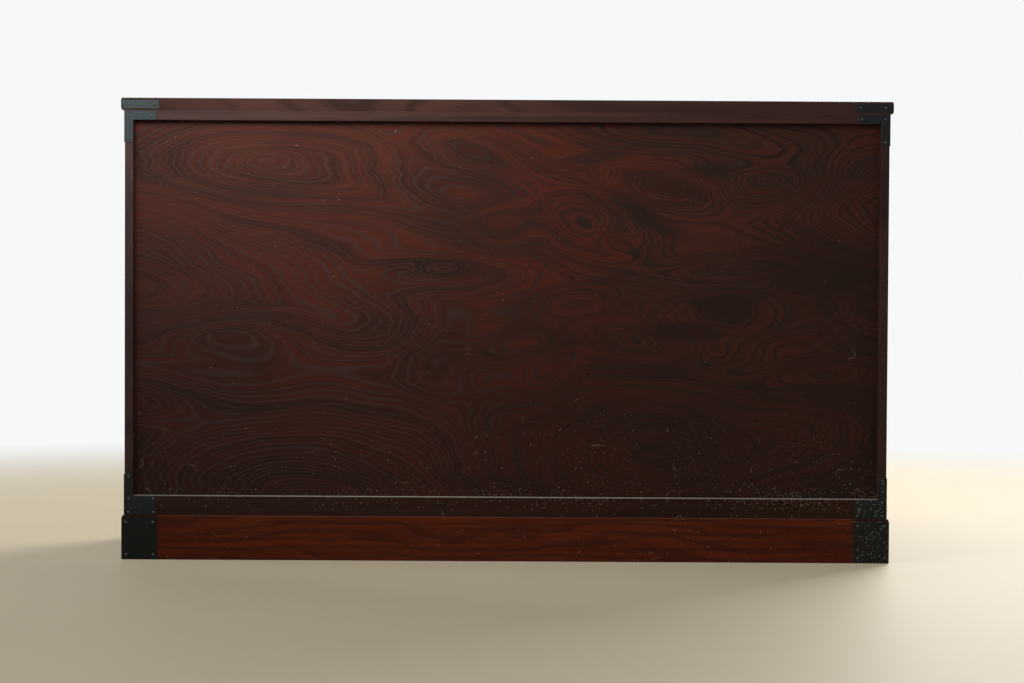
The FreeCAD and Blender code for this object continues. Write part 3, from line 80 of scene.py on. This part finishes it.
# Iron, steel, plastic and glass
IRON = ((0.0045, 0.0055, 0.0045), (0.0105, 0.0120, 0.0105))
# Edges lightened by wear and a painted highlight
RUBBED_AND_HIGHLIT_IRON = (0.125, 0.130, 0.122)
SCRAPE = (0.58, 0.56, 0.49)
SCRAPE_SPECKS = ((130.0, 0.0012), (260.0, 0.0008))
SCRAPE_HAIRS = ((45.0, 0.009, 0.0005), (110.0, 0.004, 0.0004))
NAIL = ((0.035, 0.037, 0.034), (0.085, 0.090, 0.082))
STEEL = ((0.38, 0.38, 0.37), (0.56, 0.56, 0.55))
PLASTIC = ((0.040, 0.028, 0.024), (0.060, 0.042, 0.036))
GLASS = ((0.96, 0.985, 0.975), (0.90, 0.93, 0.91))
GLASS_IOR = 1.05


# Node graphs

class Graph:
    """Builds a material's or the world's nodes with short calls.
    Sockets, numbers and tuples all work as inputs."""

    def __init__(self, owner):
        owner.use_nodes = True
        self.tree = owner.node_tree
        self.tree.nodes.clear()

    def add(self, kind, inputs=(), **settings):
        node = self.tree.nodes.new(kind)
        for key, value in settings.items():
            setattr(node, key, value)
        for key, value in dict(inputs).items():
            self.put(node.inputs[key], value)
        return node

    def put(self, socket, value):
        if value is None:
            return
        if isinstance(value, bpy.types.NodeSocket):
            self.tree.links.new(value, socket)
        elif isinstance(value, tuple) and socket.type == "RGBA" and len(value) == 3:
            socket.default_value = (*value, 1.0)
        else:
            socket.default_value = value

    def math(self, operation, a, b=None):
        return self.add("ShaderNodeMath", {0: a, 1: b}, operation=operation).outputs[0]

    def times(self, *values):
        """The product of some values."""
        return functools.reduce(lambda a, b: self.math("MULTIPLY", a, b), values)

    def total(self, *values):
        """The sum of some values."""
        return functools.reduce(lambda a, b: self.math("ADD", a, b), values)

    def vector(self, operation, a, b):
        return self.add("ShaderNodeVectorMath", {0: a, 1: b}, operation=operation).outputs[0]

    def dot(self, a, b):
        return self.add("ShaderNodeVectorMath", {0: a, 1: b}, operation="DOT_PRODUCT").outputs["Value"]

    def noise(self, place, scale, detail=2.0, roughness=0.5):
        inputs = {"Vector": place, "Scale": scale, "Detail": detail, "Roughness": roughness}
        return self.add("ShaderNodeTexNoise", inputs).outputs["Fac"]

    def drawn_noise(self, place, scales, detail=2.0, roughness=0.5):
        """Noise with a scale of its own along each axis."""
        return self.noise(self.vector("MULTIPLY", place, scales), 1.0, detail, roughness)

    def shift(self, place, scales, reach):
        """A vector that wanders from point to point, by up to half the reach each way."""
        inputs = {"Vector": self.vector("MULTIPLY", place, scales), "Scale": 1.0, "Detail": 1.0,
                  "Roughness": 0.5}
        wander = self.add("ShaderNodeTexNoise", inputs).outputs["Color"]
        return self.vector("MULTIPLY", self.vector("SUBTRACT", wander, (0.5, 0.5, 0.5)), reach)

    def noise_along(self, value, scale):
        """Noise that depends on one value alone."""
        inputs = {"W": value, "Scale": scale, "Detail": 1.0}
        return self.add("ShaderNodeTexNoise", inputs, noise_dimensions="1D").outputs["Fac"]

    def span(self, value, low, high, to_low=0.0, to_high=1.0, smooth=True):
        """A value mapped from one range to another and kept inside it."""
        kind = "SMOOTHSTEP" if smooth else "LINEAR"
        inputs = {"Value": value, "From Min": low, "From Max": high, "To Min": to_low, "To Max": to_high}
        return self.add("ShaderNodeMapRange", inputs, interpolation_type=kind).outputs[0]

    def blend(self, share, a, b):
        node = self.add("ShaderNodeMix", data_type="RGBA", blend_type="MIX")
        self.put(node.inputs[0], share)
        self.put(node.inputs[6], a)
        self.put(node.inputs[7], b)
        return node.outputs[2]

    def ramp(self, value, low, high, tones):
        """A colour that goes evenly from the first tone to the second as the value rises."""
        node = self.add("ShaderNodeValToRGB", {0: value})
        node.color_ramp.interpolation = "LINEAR"
        for element, position, colour in zip(node.color_ramp.elements, (low, high), tones):
            element.position = position
            element.color = (*colour, 1.0)
        return node.outputs["Color"]

    def parts(self, place):
        return self.add("ShaderNodeSeparateXYZ", {0: place}).outputs

    def place(self):
        """The point on the part at rest, in metres."""
        return self.add("ShaderNodeTexCoord").outputs["Object"]

    def facing_up(self):
        normal = self.add("ShaderNodeNewGeometry").outputs["Normal"]
        return self.parts(normal)["Z"]

    def eased(self, radius):
        """A normal that makes sharp edges shade as if they were slightly rounded."""
        return self.add("ShaderNodeBevel", {"Radius": radius}, samples=4).outputs[0]

    def rubbed_and_highlit_edges(self, place, eased):
        """1 along the sharp edges that the eased normal rounds, broken up by noise. It masks both wear
        and a painted highlight on those edges.
        """
        normal = self.add("ShaderNodeNewGeometry").outputs["Normal"]
        edge = self.span(self.dot(eased, normal), 0.995, 0.90)
        return self.times(edge, self.span(self.noise(place, 90.0, 3.0, 0.6), 0.35, 0.6, 0.35, 1.0))

    def bump(self, height, strength, distance, normal=None):
        inputs = {"Height": height, "Strength": strength, "Distance": distance, "Normal": normal}
        return self.add("ShaderNodeBump", inputs).outputs[0]

    def surface(self, colour, roughness, normal=None, **more):
        inputs = {"Base Color": colour, "Roughness": roughness, "Normal": normal}
        inputs.update({key.replace("_", " "): value for key, value in more.items()})
        shader = self.add("ShaderNodeBsdfPrincipled", inputs)
        self.add("ShaderNodeOutputMaterial", {"Surface": shader.outputs[0]})
        return shader

    def show_mix(self, share, first, second):
        """Gives the material a mix of two shaders."""
        mix = self.add("ShaderNodeMixShader", {0: share, 1: first, 2: second})
        output = next(n for n in self.tree.nodes if n.type == "OUTPUT_MATERIAL")
        self.put(output.inputs["Surface"], mix.outputs[0])


def new_material(name):
    material = bpy.data.materials.new(name)
    return material, Graph(material)


def dress(material, *names):
    for name in names:
        slots = nodes[name].data.materials
        slots.clear()
        slots.append(material)


# Dust: a film on ledges, and specks and short fibres that cling lower down

def specks(g, place, scale, size, share):
    """Small round specks in a share of the cells of a grid, some fainter than others."""
    node = g.add("ShaderNodeTexVoronoi", {"Vector": place, "Scale": scale}, voronoi_dimensions="3D")
    way = g.parts(node.outputs["Color"])
    chosen = g.math("LESS_THAN", way["X"], share)
    near = g.span(node.outputs["Distance"], size * scale, size * scale * 0.3)
    return g.times(near, chosen, way["Y"])


def fibres(g, place, scale, length, width, share):
    """Short bent fibres in a share of the cells, each turned its own way in the plane of X and Z."""
    node = g.add("ShaderNodeTexVoronoi", {"Vector": place, "Scale": scale}, voronoi_dimensions="3D")
    way = g.parts(node.outputs["Color"])
    offset = g.parts(g.vector("SUBTRACT", place, node.outputs["Position"]))
    turn = g.times(way["X"], math.tau)
    sine = g.math("SINE", turn)
    cosine = g.math("COSINE", turn)
    along = g.total(g.times(offset["X"], cosine), g.times(offset["Z"], sine))
    across = g.math("SUBTRACT", g.times(offset["Z"], cosine), g.times(offset["X"], sine))
    bend = g.span(way["Y"], 0.0, 1.0, -120.0, 120.0, smooth=False)
    curve = g.times(along, along, bend)
    off_line = g.math("ABSOLUTE", g.math("SUBTRACT", across, curve))
    inside = g.span(off_line, width, width * 0.3)
    own_length = g.span(way["X"], 0.0, 1.0, length * 0.35, length, smooth=False)
    short = g.span(g.math("SUBTRACT", g.math("ABSOLUTE", along), own_length), 0.0, -0.001)
    chosen = g.math("LESS_THAN", way["Z"], share)
    faint = g.span(way["Y"], 0.0, 1.0, 0.35, 1.0)
    return g.times(g.times(inside, short), g.times(chosen, faint))


def dusted(g, place, colour, heights, least):
    """White specks and short hairs of lint, thicker at the second of the heights and towards the
    right as seen from behind."""
    axes = g.parts(place)
    low = g.span(axes["Z"], *heights)
    right = g.span(axes["X"], 0.6, -0.8, 0.25, 1.0)
    clumps = g.span(g.noise(place, 9.0, 2.0, 0.6), 0.42, 0.62, 0.1, 1.0)
    near = g.times(g.total(g.times(low, right, clumps), least), at_back(g, axes))
    lint = [specks(g, place, *kind, g.times(near, share)) for *kind, share in DUST_SPECKS]
    lint += [fibres(g, place, *kind, g.times(near, share)) for *kind, share in DUST_HAIRS]
    return g.blend(g.math("MINIMUM", g.total(*lint), 0.95), colour, LINT)


def fuzzed(g, place, colour, heights):
    """Denser fuzz along the back's ledge, mostly from the middle to the right as seen from behind."""
    axes = g.parts(place)
    right = g.span(axes["X"], 0.05, -0.12, 0.3, 1.0)
    tufts = g.span(g.noise(place, 11.0, 2.0, 0.6), 0.42, 0.60, 0.0, 0.8)
    near = g.times(g.span(axes["Z"], *heights), right, tufts, at_back(g, axes))
    fuzz = g.total(specks(g, place, *FUZZ_SPECKS, near), fibres(g, place, *FUZZ_HAIRS, near))
    return g.blend(g.math("MINIMUM", fuzz, 0.95), colour, LINT)


def at_back(g, axes):
    """1 on what shows at the back of the object, and 0 inside it and further forward."""
    return g.span(axes["Y"], *BACK_FACE)


# Wood

def fine_grain(g, place, along):
    """Noise drawn out along one axis, as fine as wood fibre."""
    return g.drawn_noise(place, tuple(14.0 if axis == along else 520.0 for axis in "XYZ"), 3.0, 0.6)


def broad_grain(g, place, along):
    """Noise drawn out along one axis, as broad as the streaks of a board."""
    return g.drawn_noise(place, tuple(2.5 if axis == along else 90.0 for axis in "XYZ"))


def straight_wood(name, along, along_sides):
    """Plain unstained boards. The fibres of those that face sideways can run another way."""
    material, g = new_material(name)
    place = g.place()
    fine, broad = fine_grain(g, place, along), broad_grain(g, place, along)
    if along_sides != along:
        sideways = g.parts(g.add("ShaderNodeTexCoord").outputs["Normal"])["X"]
        sideways = g.math("GREATER_THAN", g.math("ABSOLUTE", sideways), 0.5)
        fine = g.blend(sideways, fine, fine_grain(g, place, along_sides))
        broad = g.blend(sideways, broad, broad_grain(g, place, along_sides))
    value = g.total(g.times(fine, 0.45), g.times(broad, 0.55))
    colour = g.ramp(g.span(value, 0.25, 0.75), 0.0, 1.0, PLAIN_WOOD)
    g.surface(colour, 0.62, g.bump(fine, 0.25, 0.0004, g.eased(PLAIN_EDGE)), Specular_IOR_Level=0.3)
    return material


def hill(g, place, x, z, reach, width, tilt, height):
    """A smooth hill in the plane of X and Z. Contour lines round such hills look like growth rings."""
    inputs = {"Vector": place, "Location": (x, 0.0, z), "Rotation": (0.0, -math.radians(tilt), 0.0),
              "Scale": (reach, 1.0, width)}
    local = g.add("ShaderNodeMapping", inputs, vector_type="TEXTURE").outputs[0]
    slope = g.add("ShaderNodeTexGradient", {"Vector": local}, gradient_type="SPHERICAL").outputs["Fac"]
    return g.span(slope, 0.0, 1.0, 0.0, float(height))


# Hills of the back panel's figure: X, Z, reach, width, tilt in degrees, height in growth rings
BACK_FIGURE = (
    (0.50, 0.86, 0.42, 0.136, 2, 11),
    (0.51, 0.87, 0.12, 0.039, -8, 2.5),
    (0.91, 0.66, 0.93, 0.228, 10, -14),
    (0.94, 0.59, 0.51, 0.092, 3, -9),
    (0.58, 0.49, 0.27, 0.081, 3, 6),
    (0.89, 0.34, 0.33, 0.087, 0, -8),
    (0.43, 0.08, 0.60, 0.360, 0, -16),
    (0.42, 0.13, 0.18, 0.110, 0, -3.5),
    (0.32, 0.51, 0.33, 0.098, 0, -3),
    (0.07, 0.89, 0.23, 0.081, 18, 6),
    (0.23, 0.77, 0.33, 0.065, 14, 4),
    (0.02, 0.72, 0.11, 0.087, 0, 5),
    (-0.16, 0.73, 0.26, 0.136, 24, 8),
    (-0.23, 0.70, 0.07, 0.041, 15, -3.5),
    (0.12, 0.62, 0.21, 0.065, 0, -6),
    (0.14, 0.63, 0.08, 0.028, 0, 4.5),
    (-0.16, 0.56, 0.15, 0.060, -5, 5),
    (-0.36, 0.81, 0.22, 0.065, 5, -6),
    (-0.60, 0.83, 0.30, 0.103, 0, 8),
    (-0.59, 0.83, 0.10, 0.039, 0, 2.5),
    (-0.49, 0.64, 0.29, 0.049, -3, 6),
    (-0.46, 0.54, 0.24, 0.103, 0, 6),
    (-0.47, 0.54, 0.10, 0.049, 0, -5),
    (-0.29, 0.48, 0.21, 0.054, 14, -5),
    (-0.68, 0.41, 0.22, 0.054, -5, 5),
    (-0.69, 0.28, 0.24, 0.098, 0, 5),
    (-0.44, 0.45, 0.18, 0.054, 0, 4),
    (-0.31, 0.23, 0.52, 0.250, 0, 15),
    (-0.95, 0.75, 0.61, 0.184, 10, -12),
    (-0.41, 0.93, 0.52, 0.065, 6, 5),
    (-0.86, 0.56, 0.28, 0.141, 0, 6),
    (-0.09, 0.38, 0.12, 0.087, -40, -3),
    (-0.03, 0.47, 0.17, 0.060, -12, 4),
    (0.15, 0.46, 0.13, 0.195, 0, 3),
    (-0.56, 0.17, 0.16, 0.065, 0, -4),
)

# Dark eyes of the back panel's figure, in the same terms, with a height of 1 at full strength
BACK_EYES = (
    (-0.34, 0.815, 0.190, 0.040, 12, 1),
    (-0.44, 0.854, 0.110, 0.030, 0, 1),
    (-0.30, 0.754, 0.150, 0.036, 26, 1),
    (-0.46, 0.547, 0.150, 0.050, 8, 1),
    (0.15, 0.632, 0.190, 0.036, 4, 1),
    (-0.38, 0.495, 0.160, 0.034, 0, 1),
    (-0.68, 0.640, 0.340, 0.150, 10, 0.8),
)


def ring_field(g, flat, figure, swell, aged_with_painted_light):
    """The growth rings' number at each point of a face, and the warped point that it comes from."""
    warped = g.vector("ADD", flat, g.shift(flat, (2.6, 1.0, 7.0), (0.075, 0.0, 0.040)))
    warped = g.vector("ADD", warped, g.shift(flat, (7.0, 1.0, 24.0), (0.055, 0.0, 0.008)))
    if aged_with_painted_light:
        warped = g.vector("ADD", warped, g.shift(flat, (22.0, 1.0, 70.0), (0.014, 0.0, 0.003)))
    swelling = g.times(g.drawn_noise(warped, (2.2, 1.0, 6.5), 1.0), swell)
    field = g.total(swelling, *[hill(g, warped, *row) for row in figure])
    return (g.times(field, RING_DENSITY) if aged_with_painted_light else field), warped


def growth_line(g, field):
    """1 on the line of each ring, with a soft start and end."""
    ring = g.math("FRACT", field)
    end = g.span(g.noise_along(field, 0.9), 0.3, 0.7, 0.34, 0.62)
    return g.times(g.span(ring, 0.0, 0.30), g.span(g.math("SUBTRACT", ring, end), 0.04, -0.20))


def figured_wood(name, axes, figure, swell, tones, specular, roughness, aged_with_painted_light=False):
    """Wood cut along its rings: growth lines that flow round the figure's hills and through noise.
    The axes name the fibre's way and the way across it in the face, and the lines run on over the
    board's edges. With the last flag set, the face holds lint and has dark eyes, and takes painted
    light:
    painted shade that darkens it low down and, as seen from behind, a cool painted veil of reflection to
    the right and painted sheen that lightens its lines to the left."""
    material, g = new_material(name)
    place = g.place()
    spots = g.parts(place)
    dim_ground, bright_ground, line_colour = tones
    along, across = axes
    level = spots[across]
    if not aged_with_painted_light:
        level = g.total(level, spots[next(axis for axis in "XYZ" if axis not in axes)])
    flat = g.add("ShaderNodeCombineXYZ", {"X": spots[along], "Z": level}).outputs[0]
    field, warped = ring_field(g, flat, figure, swell, aged_with_painted_light)
    line = growth_line(g, field)
    fine = fine_grain(g, place, along)
    patch = g.times(g.drawn_noise(warped, (3.0, 1.0, 9.0)), 0.5)
    patch = g.total(patch, g.times(g.noise_along(field, 0.5), 0.5))
    bright = g.span(g.total(patch, g.times(g.math("SUBTRACT", fine, 0.5), 0.15)), 0.36, 0.64)
    ground = g.blend(bright, dim_ground, bright_ground)
    streak = tuple(v * 0.38 for v in dim_ground)
    ground = g.blend(g.span(fine, 0.62, 0.38, 0.0, 0.12), ground, streak)
    if aged_with_painted_light:
        # Painted reflection: a cool grey veil over the ground to the right as seen from behind
        ground = g.blend(g.span(spots["X"], -0.10, -0.50, 0.0, 0.25), ground, PAINTED_VEIL_RIGHT)
        eyes = g.total(*[hill(g, warped, *row) for row in BACK_EYES])
        ground = g.blend(g.span(eyes, 0.05, 0.85, 0.0, 0.55), ground, EYE_STAIN)
        # Painted shade: darkens the ground low down, where less light falls
        ground = g.blend(g.span(spots["Z"], 0.74, 0.25, 0.0, 0.34), ground, PAINTED_SHADE_LOW)
        # Painted sheen: lightens the growth lines to the left as seen from behind, where light catches
        # them
        line_colour = g.blend(g.span(spots["X"], -0.22, 0.30), line_colour, PAINTED_LINE_SHEEN)
    strength = g.span(g.drawn_noise(flat, (4.0, 1.0, 10.0)), 0.3, 0.65, 0.55, 1.0)
    colour = g.blend(g.times(line, strength), ground, line_colour)
    eased = g.eased(WOOD_EDGE)
    # Painted highlight and wear: lightens the board's sharp edges
    colour = g.blend(g.times(g.rubbed_and_highlit_edges(place, eased), 0.5), colour, RUBBED_AND_HIGHLIT_WOOD)
    if aged_with_painted_light:
        colour = dusted(g, place, colour, PANEL_DUST, 0.010)
        colour = fuzzed(g, place, colour, PANEL_FUZZ)
    normal = g.bump(fine, 0.15, 0.0003, g.bump(line, 0.35, 0.0003, eased))
    g.surface(colour, roughness, normal, Specular_IOR_Level=specular)
    return material


def case_wood(name, along, tones, lint=False):
    """Plain stained boards. With lint, the back is dusty, and a film lies on what faces up there."""
    material, g = new_material(name)
    place = g.place()
    fine = fine_grain(g, place, along)
    value = g.total(g.times(fine, 0.4), g.times(broad_grain(g, place, along), 0.6))
    colour = g.ramp(g.span(value, 0.28, 0.72), 0.0, 1.0, tones)
    if lint:
        ledge = g.times(g.span(g.facing_up(), 0.7, 0.9), at_back(g, g.parts(place)))
        film = g.span(g.drawn_noise(place, (60.0, 60.0, 60.0), 3.0, 0.6), 0.2, 0.5, 0.75, 1.0)
        colour = dusted(g, place, colour, RAIL_DUST, 0.03)
        colour = fuzzed(g, place, colour, RAIL_FUZZ)
        colour = g.blend(g.times(ledge, film), colour, LINT)
    eased = g.eased(WOOD_EDGE)
    # Painted highlight and wear: lightens the board's sharp edges
    colour = g.blend(g.times(g.rubbed_and_highlit_edges(place, eased), 0.5), colour, RUBBED_AND_HIGHLIT_WOOD)
    g.surface(colour, 0.38, g.bump(fine, 0.2, 0.0003, eased), Specular_IOR_Level=0.06)
    return material


def base_wood(name):
    """Brighter red boards with level growth lines, darker strips just above the corner caps, and dust.
    """
    material, g = new_material(name)
    place = g.place()
    axes = g.parts(place)
    dim_ground, bright_ground, line_colour = BASE_WOOD
    wave = g.drawn_noise(place, (3.0, 3.0, 14.0))
    ring = g.math("FRACT", g.total(g.times(axes["Z"], 42.0), g.times(wave, 5.0)))
    line = g.times(g.span(ring, 0.0, 0.15), g.span(ring, 0.6, 0.2))
    broad = g.span(broad_grain(g, place, "X"), 0.3, 0.7)
    ground = g.blend(broad, dim_ground, bright_ground)
    colour = g.blend(g.times(line, 0.6), ground, line_colour)
    # Darkens the strip of wood just above the corner caps
    outside = g.span(g.math("ABSOLUTE", axes["X"]), *BASE_CAP_REACH)
    darker_share = g.times(outside, g.span(axes["Z"], *BASE_CAP_TOP))
    colour = g.blend(g.times(darker_share, 0.85), colour, BASE_DARKER_ABOVE_CAPS)
    colour = dusted(g, place, colour, BASE_DUST, 0.02)
    film = g.times(g.span(g.facing_up(), 0.7, 0.9, 0.0, 0.25), at_back(g, axes))
    colour = g.blend(film, colour, LINT)
    normal = g.bump(fine_grain(g, place, "X"), 0.2, 0.0003, g.eased(BASE_EDGE))
    g.surface(colour, 0.40, normal, Specular_IOR_Level=0.045)
    return material


# Metal, plastic and glass

def iron(name):
    """Blackened iron: faint hammering, rubbed patches, edges lightened by wear and a painted highlight,
    and at the lower right as seen from behind, lint and pale scrapes."""
    material, g = new_material(name)
    place = g.place()
    axes = g.parts(place)
    hammer = g.noise(place, 160.0)
    grit = g.noise(place, 900.0, 2.0, 0.6)
    worn = g.span(g.noise(place, 45.0, 4.0, 0.65), 0.52, 0.75)
    colour = g.blend(worn, *IRON)
    corner = g.times(g.span(axes["X"], -0.70, -0.78), g.span(axes["Z"], 0.30, 0.12), at_back(g, axes))
    share = g.times(corner, g.span(g.noise(place, 40.0), 0.35, 0.6, 0.3, 1.0))
    few = g.times(share, 0.45)
    scrapes = [specks(g, place, *kind, share) for kind in SCRAPE_SPECKS]
    scrapes += [fibres(g, place, *kind, few) for kind in SCRAPE_HAIRS]
    scrapes = g.times(g.total(*scrapes), g.span(g.noise(place, 120.0), 0.35, 0.65, 0.5, 1.8))
    colour = g.blend(g.math("MINIMUM", scrapes, 0.85), colour, SCRAPE)
    eased = g.eased(IRON_EDGE)
    # Painted highlight and wear: lightens the plates' sharp edges
    colour = g.blend(g.times(g.rubbed_and_highlit_edges(place, eased), 0.7), colour, RUBBED_AND_HIGHLIT_IRON)
    normal = g.bump(grit, 0.08, 0.0003, g.bump(hammer, 0.16, 0.0010, eased))
    roughness = g.span(worn, 0.0, 1.0, 0.30, 0.44, smooth=False)
    g.surface(colour, roughness, normal, Specular_IOR_Level=0.16)
    return material


def nail_iron(name):
    """Nail heads rubbed bright on their crowns."""
    material, g = new_material(name)
    grit = g.noise(g.place(), 1500.0, 2.0, 0.6)
    colour = g.ramp(grit, 0.35, 0.65, NAIL)
    g.surface(colour, g.span(grit, 0.3, 0.7, 0.28, 0.4), g.bump(grit, 0.1, 0.0002), Metallic=0.5)
    return material


def bare_steel(name):
    """Bright steel, brushed along X."""
    material, g = new_material(name)
    brushed = g.drawn_noise(g.place(), (60.0, 900.0, 900.0))
    colour = g.ramp(brushed, 0.3, 0.7, STEEL)
    g.surface(colour, g.span(brushed, 0.3, 0.7, 0.30, 0.42), g.bump(brushed, 0.1, 0.0002), Metallic=1.0)
    return material


def catch_plastic(name):
    """Brown plastic with a fine grain."""
    material, g = new_material(name)
    grain = g.noise(g.place(), 700.0, 2.0, 0.6)
    g.surface(g.ramp(grain, 0.3, 0.7, PLASTIC), 0.55, g.bump(grain, 0.2, 0.0002))
    return material


def pane(name):
    """Clear glass with a faint green depth and a little grime."""
    material, g = new_material(name)
    darker_share = g.span(g.noise(g.place(), 30.0, 3.0, 0.6), 0.45, 0.75)
    g.surface(g.blend(darker_share, *GLASS), 0.0, IOR=GLASS_IOR, Transmission_Weight=1.0)
    return material


# Dressing the nodes

back = figured_wood("back_panel_wood", "XZ", BACK_FIGURE, 4.5, RED_WOOD, 0.05, 0.44, aged_with_painted_light=True)
top = figured_wood("top_wood", "XY", (), 7.0, BROWN_WOOD, 0.08, 0.36)
side = figured_wood("side_wood", "ZY", (), 7.0, BROWN_WOOD, 0.08, 0.36)
front_across = figured_wood("front_wood_across", "XZ", (), 12.0, RED_WOOD, 0.2, 0.36)
front_upright = figured_wood("front_wood_upright", "ZX", (), 12.0, RED_WOOD, 0.2, 0.36)
across = case_wood("case_wood_across", "X", CASE_ACROSS)
upright = case_wood("case_wood_upright", "Z", CASE_UPRIGHT)
rails = case_wood("case_wood_rails", "X", CASE_RAILS, lint=True)
base = base_wood("base_wood")
black = iron("black_iron")
nails = nail_iron("nail_iron")
plain_across = straight_wood("plain_wood_across", "X", "X")
plain_deep = straight_wood("plain_wood_deep", "Y", "Y")
plain_box = straight_wood("plain_wood_box", "X", "Y")
steel = bare_steel("bare_steel")
plastic = catch_plastic("catch_plastic")
clear = pane("old_glass")

drawers = ("drawer_1", "drawer_2", "drawer_3", "drawer_4")
panes = ("left_glass_door_pane", "right_glass_door_pane")
dress(back, "back_panel")
dress(top, "top_board")
dress(side, "left_side_panel", "right_side_panel")
dress(across, "carcass_top_panel", "display_floor", "display_shelf", "drawer_rails")
dress(rails, "carcass_bottom_rails")
dress(upright, "left_partition", "right_partition")
dress(base, "base_front_board", "base_back_board", "base_left_board", "base_right_board")
dress(black, "top_board_corner_caps", "upper_corner_brackets", "lower_corner_brackets",
      "base_corner_caps", "cupboard_hinge_fixed_leaves", "cupboard_hinge_door_leaves",
      "cupboard_handle_plate", "cupboard_handle", "wide_drawer_handle_plates",
      "wide_drawer_left_handle", "wide_drawer_right_handle", "left_glass_door_cup_pull",
      "right_glass_door_cup_pull", *[f"{d}_handle_plate" for d in drawers],
      *[f"{d}_handle" for d in drawers])
dress(nails, "fitting_nails")
dress(plain_across, "carcass_bottom_panel", "cupboard_shelves", "base_corner_blocks")
dress(plain_deep, "drawer_runners")
dress(plain_box, "wide_drawer_box", *[f"{d}_box" for d in drawers])
dress(front_across, "wide_drawer_front", *[f"{d}_front" for d in drawers])
dress(front_upright, "cupboard_door_frame", "cupboard_door_panel", "left_glass_door_frame",
      "right_glass_door_frame")
dress(steel, "shelf_pins", "cupboard_strike_plate")
dress(plastic, "cupboard_magnet_catch")
dress(clear, *panes)
for name in panes:
    # Clear glass lets the lamps light the shelves behind it
    nodes[name].visible_shadow = False


# Floor, world and lamps

def make_floor():
    """A pale floor that takes the object's shadow and turns into the background further out."""
    bpy.ops.mesh.primitive_plane_add(size=FLOOR_SIZE)
    floor = bpy.context.object
    floor.name = "studio_floor"
    material, g = new_material("studio_floor")
    place = g.place()
    mottle = g.noise(place, 3.0, 4.0, 0.6)
    colour = g.blend(mottle, FLOOR_COLOUR, tuple(v * 1.12 for v in FLOOR_COLOUR))
    shader = g.surface(colour, 0.6, Specular_IOR_Level=0.3)
    offset = g.vector("SUBTRACT", place, FLOOR_CENTRE)
    far = g.span(g.math("SQRT", g.dot(offset, offset)), *FLOOR_FADE)
    glow = g.add("ShaderNodeEmission", {"Color": g.blend(far, FLOOR_COLOUR, PALE), "Strength": 1.0})
    share = g.times(g.span(far, 0.0, 1.0, FLOOR_GLOW, 1.0, smooth=False), seen(g))
    g.show_mix(share, shader.outputs[0], glow.outputs[0])
    floor.data.materials.append(material)


def seen(g):
    """1 for rays that show the background: from the camera, off gloss or through glass, as long as
    they have met no dull surface."""
    rays = g.add("ShaderNodeLightPath").outputs
    either = g.math("MAXIMUM", rays["Is Camera Ray"], rays["Is Glossy Ray"])
    shown = g.math("MAXIMUM", either, rays["Is Transmission Ray"])
    return g.times(shown, g.math("LESS_THAN", rays["Diffuse Depth"], 0.5))


def make_world():
    """Weak cool light all round, and a pale background where it is seen."""
    world = bpy.data.worlds.new("studio")
    bpy.context.scene.world = world
    g = Graph(world)
    light = g.add("ShaderNodeBackground", {"Color": AMBIENT, "Strength": AMBIENT_STRENGTH})
    pale = g.add("ShaderNodeBackground", {"Color": PALE, "Strength": 1.0})
    mix = g.add("ShaderNodeMixShader", {0: seen(g), 1: light.outputs[0], 2: pale.outputs[0]})
    g.add("ShaderNodeOutputWorld", {"Surface": mix.outputs[0]})


def lamp(name, place, target, size, power, colour, spread=180.0, gloss=True, sheen_on=()):
    """A soft lamp that no camera sees. Given nodes to put a sheen on, it only shows in their gloss."""
    data = bpy.data.lights.new(name, "AREA")
    data.shape = "RECTANGLE"
    data.size, data.size_y = size
    data.energy = power
    data.color = colour
    data.spread = math.radians(spread)
    light = bpy.data.objects.new(name, data)
    light.visible_camera = False
    light.visible_diffuse = not sheen_on
    light.visible_glossy = gloss
    light.visible_transmission = False
    light.location = place
    aim = Vector(target) - Vector(place)
    light.rotation_euler = aim.to_track_quat("-Z", "Y").to_euler()
    bpy.context.scene.collection.objects.link(light)
    if sheen_on:
        receivers = bpy.data.collections.new(f"{name}_receivers")
        for node in sheen_on:
            receivers.objects.link(nodes[node])
        light.light_linking.receiver_collection = receivers


def make_camera():
    """The photo's view: level but for a slight tilt down and a slight roll."""
    data = bpy.data.cameras.new("photo_camera")
    data.lens = CAMERA_LENS
    camera = bpy.data.objects.new("photo_camera", data)
    turn = Matrix.Rotation(math.pi, 4, "Z") @ Matrix.Rotation(math.radians(90 - CAMERA_PITCH), 4, "X")
    turn = turn @ Matrix.Rotation(math.radians(CAMERA_ROLL), 4, "Z")
    camera.matrix_world = Matrix.Translation(CAMERA_PLACE) @ turn
    bpy.context.scene.collection.objects.link(camera)
    bpy.context.scene.camera = camera


make_floor()
make_world()
lamp("window_light", (0.65, 1.15, 1.30), (0.2, 0.40, 1.65), (0.5, 0.5), 18.5, (0.98, 0.99, 1.0),
     gloss=False)
lamp("window_sheen", (2.1, 5.4, 2.0), (0.6, 0.2, 0.9), (1.2, 0.9), 130.0, (0.72, 0.92, 1.0),
     sheen_on=("back_panel", "upper_corner_brackets", "lower_corner_brackets", "top_board_corner_caps",
               "fitting_nails", "carcass_top_panel", "carcass_bottom_rails", "left_side_panel",
               "right_side_panel"))
lamp("side_light", (3.4, 0.1, 1.5), (0.8, 0.0, 0.5), (1.2, 1.2), 36.0, (1.0, 1.0, 1.0))
lamp("floor_light", (0.0, 1.7, 2.2), (0.0, 1.7, 0.0), (2.6, 1.0), 2.5, (1.0, 1.0, 1.0), spread=90.0)
lamp("front_light", (-2.4, -3.4, 2.6), (0.0, -0.2, 0.5), (2.6, 2.0), 290.0, (1.0, 0.99, 0.97))
make_camera()
bpy.context.scene.view_settings.view_transform = "Standard"
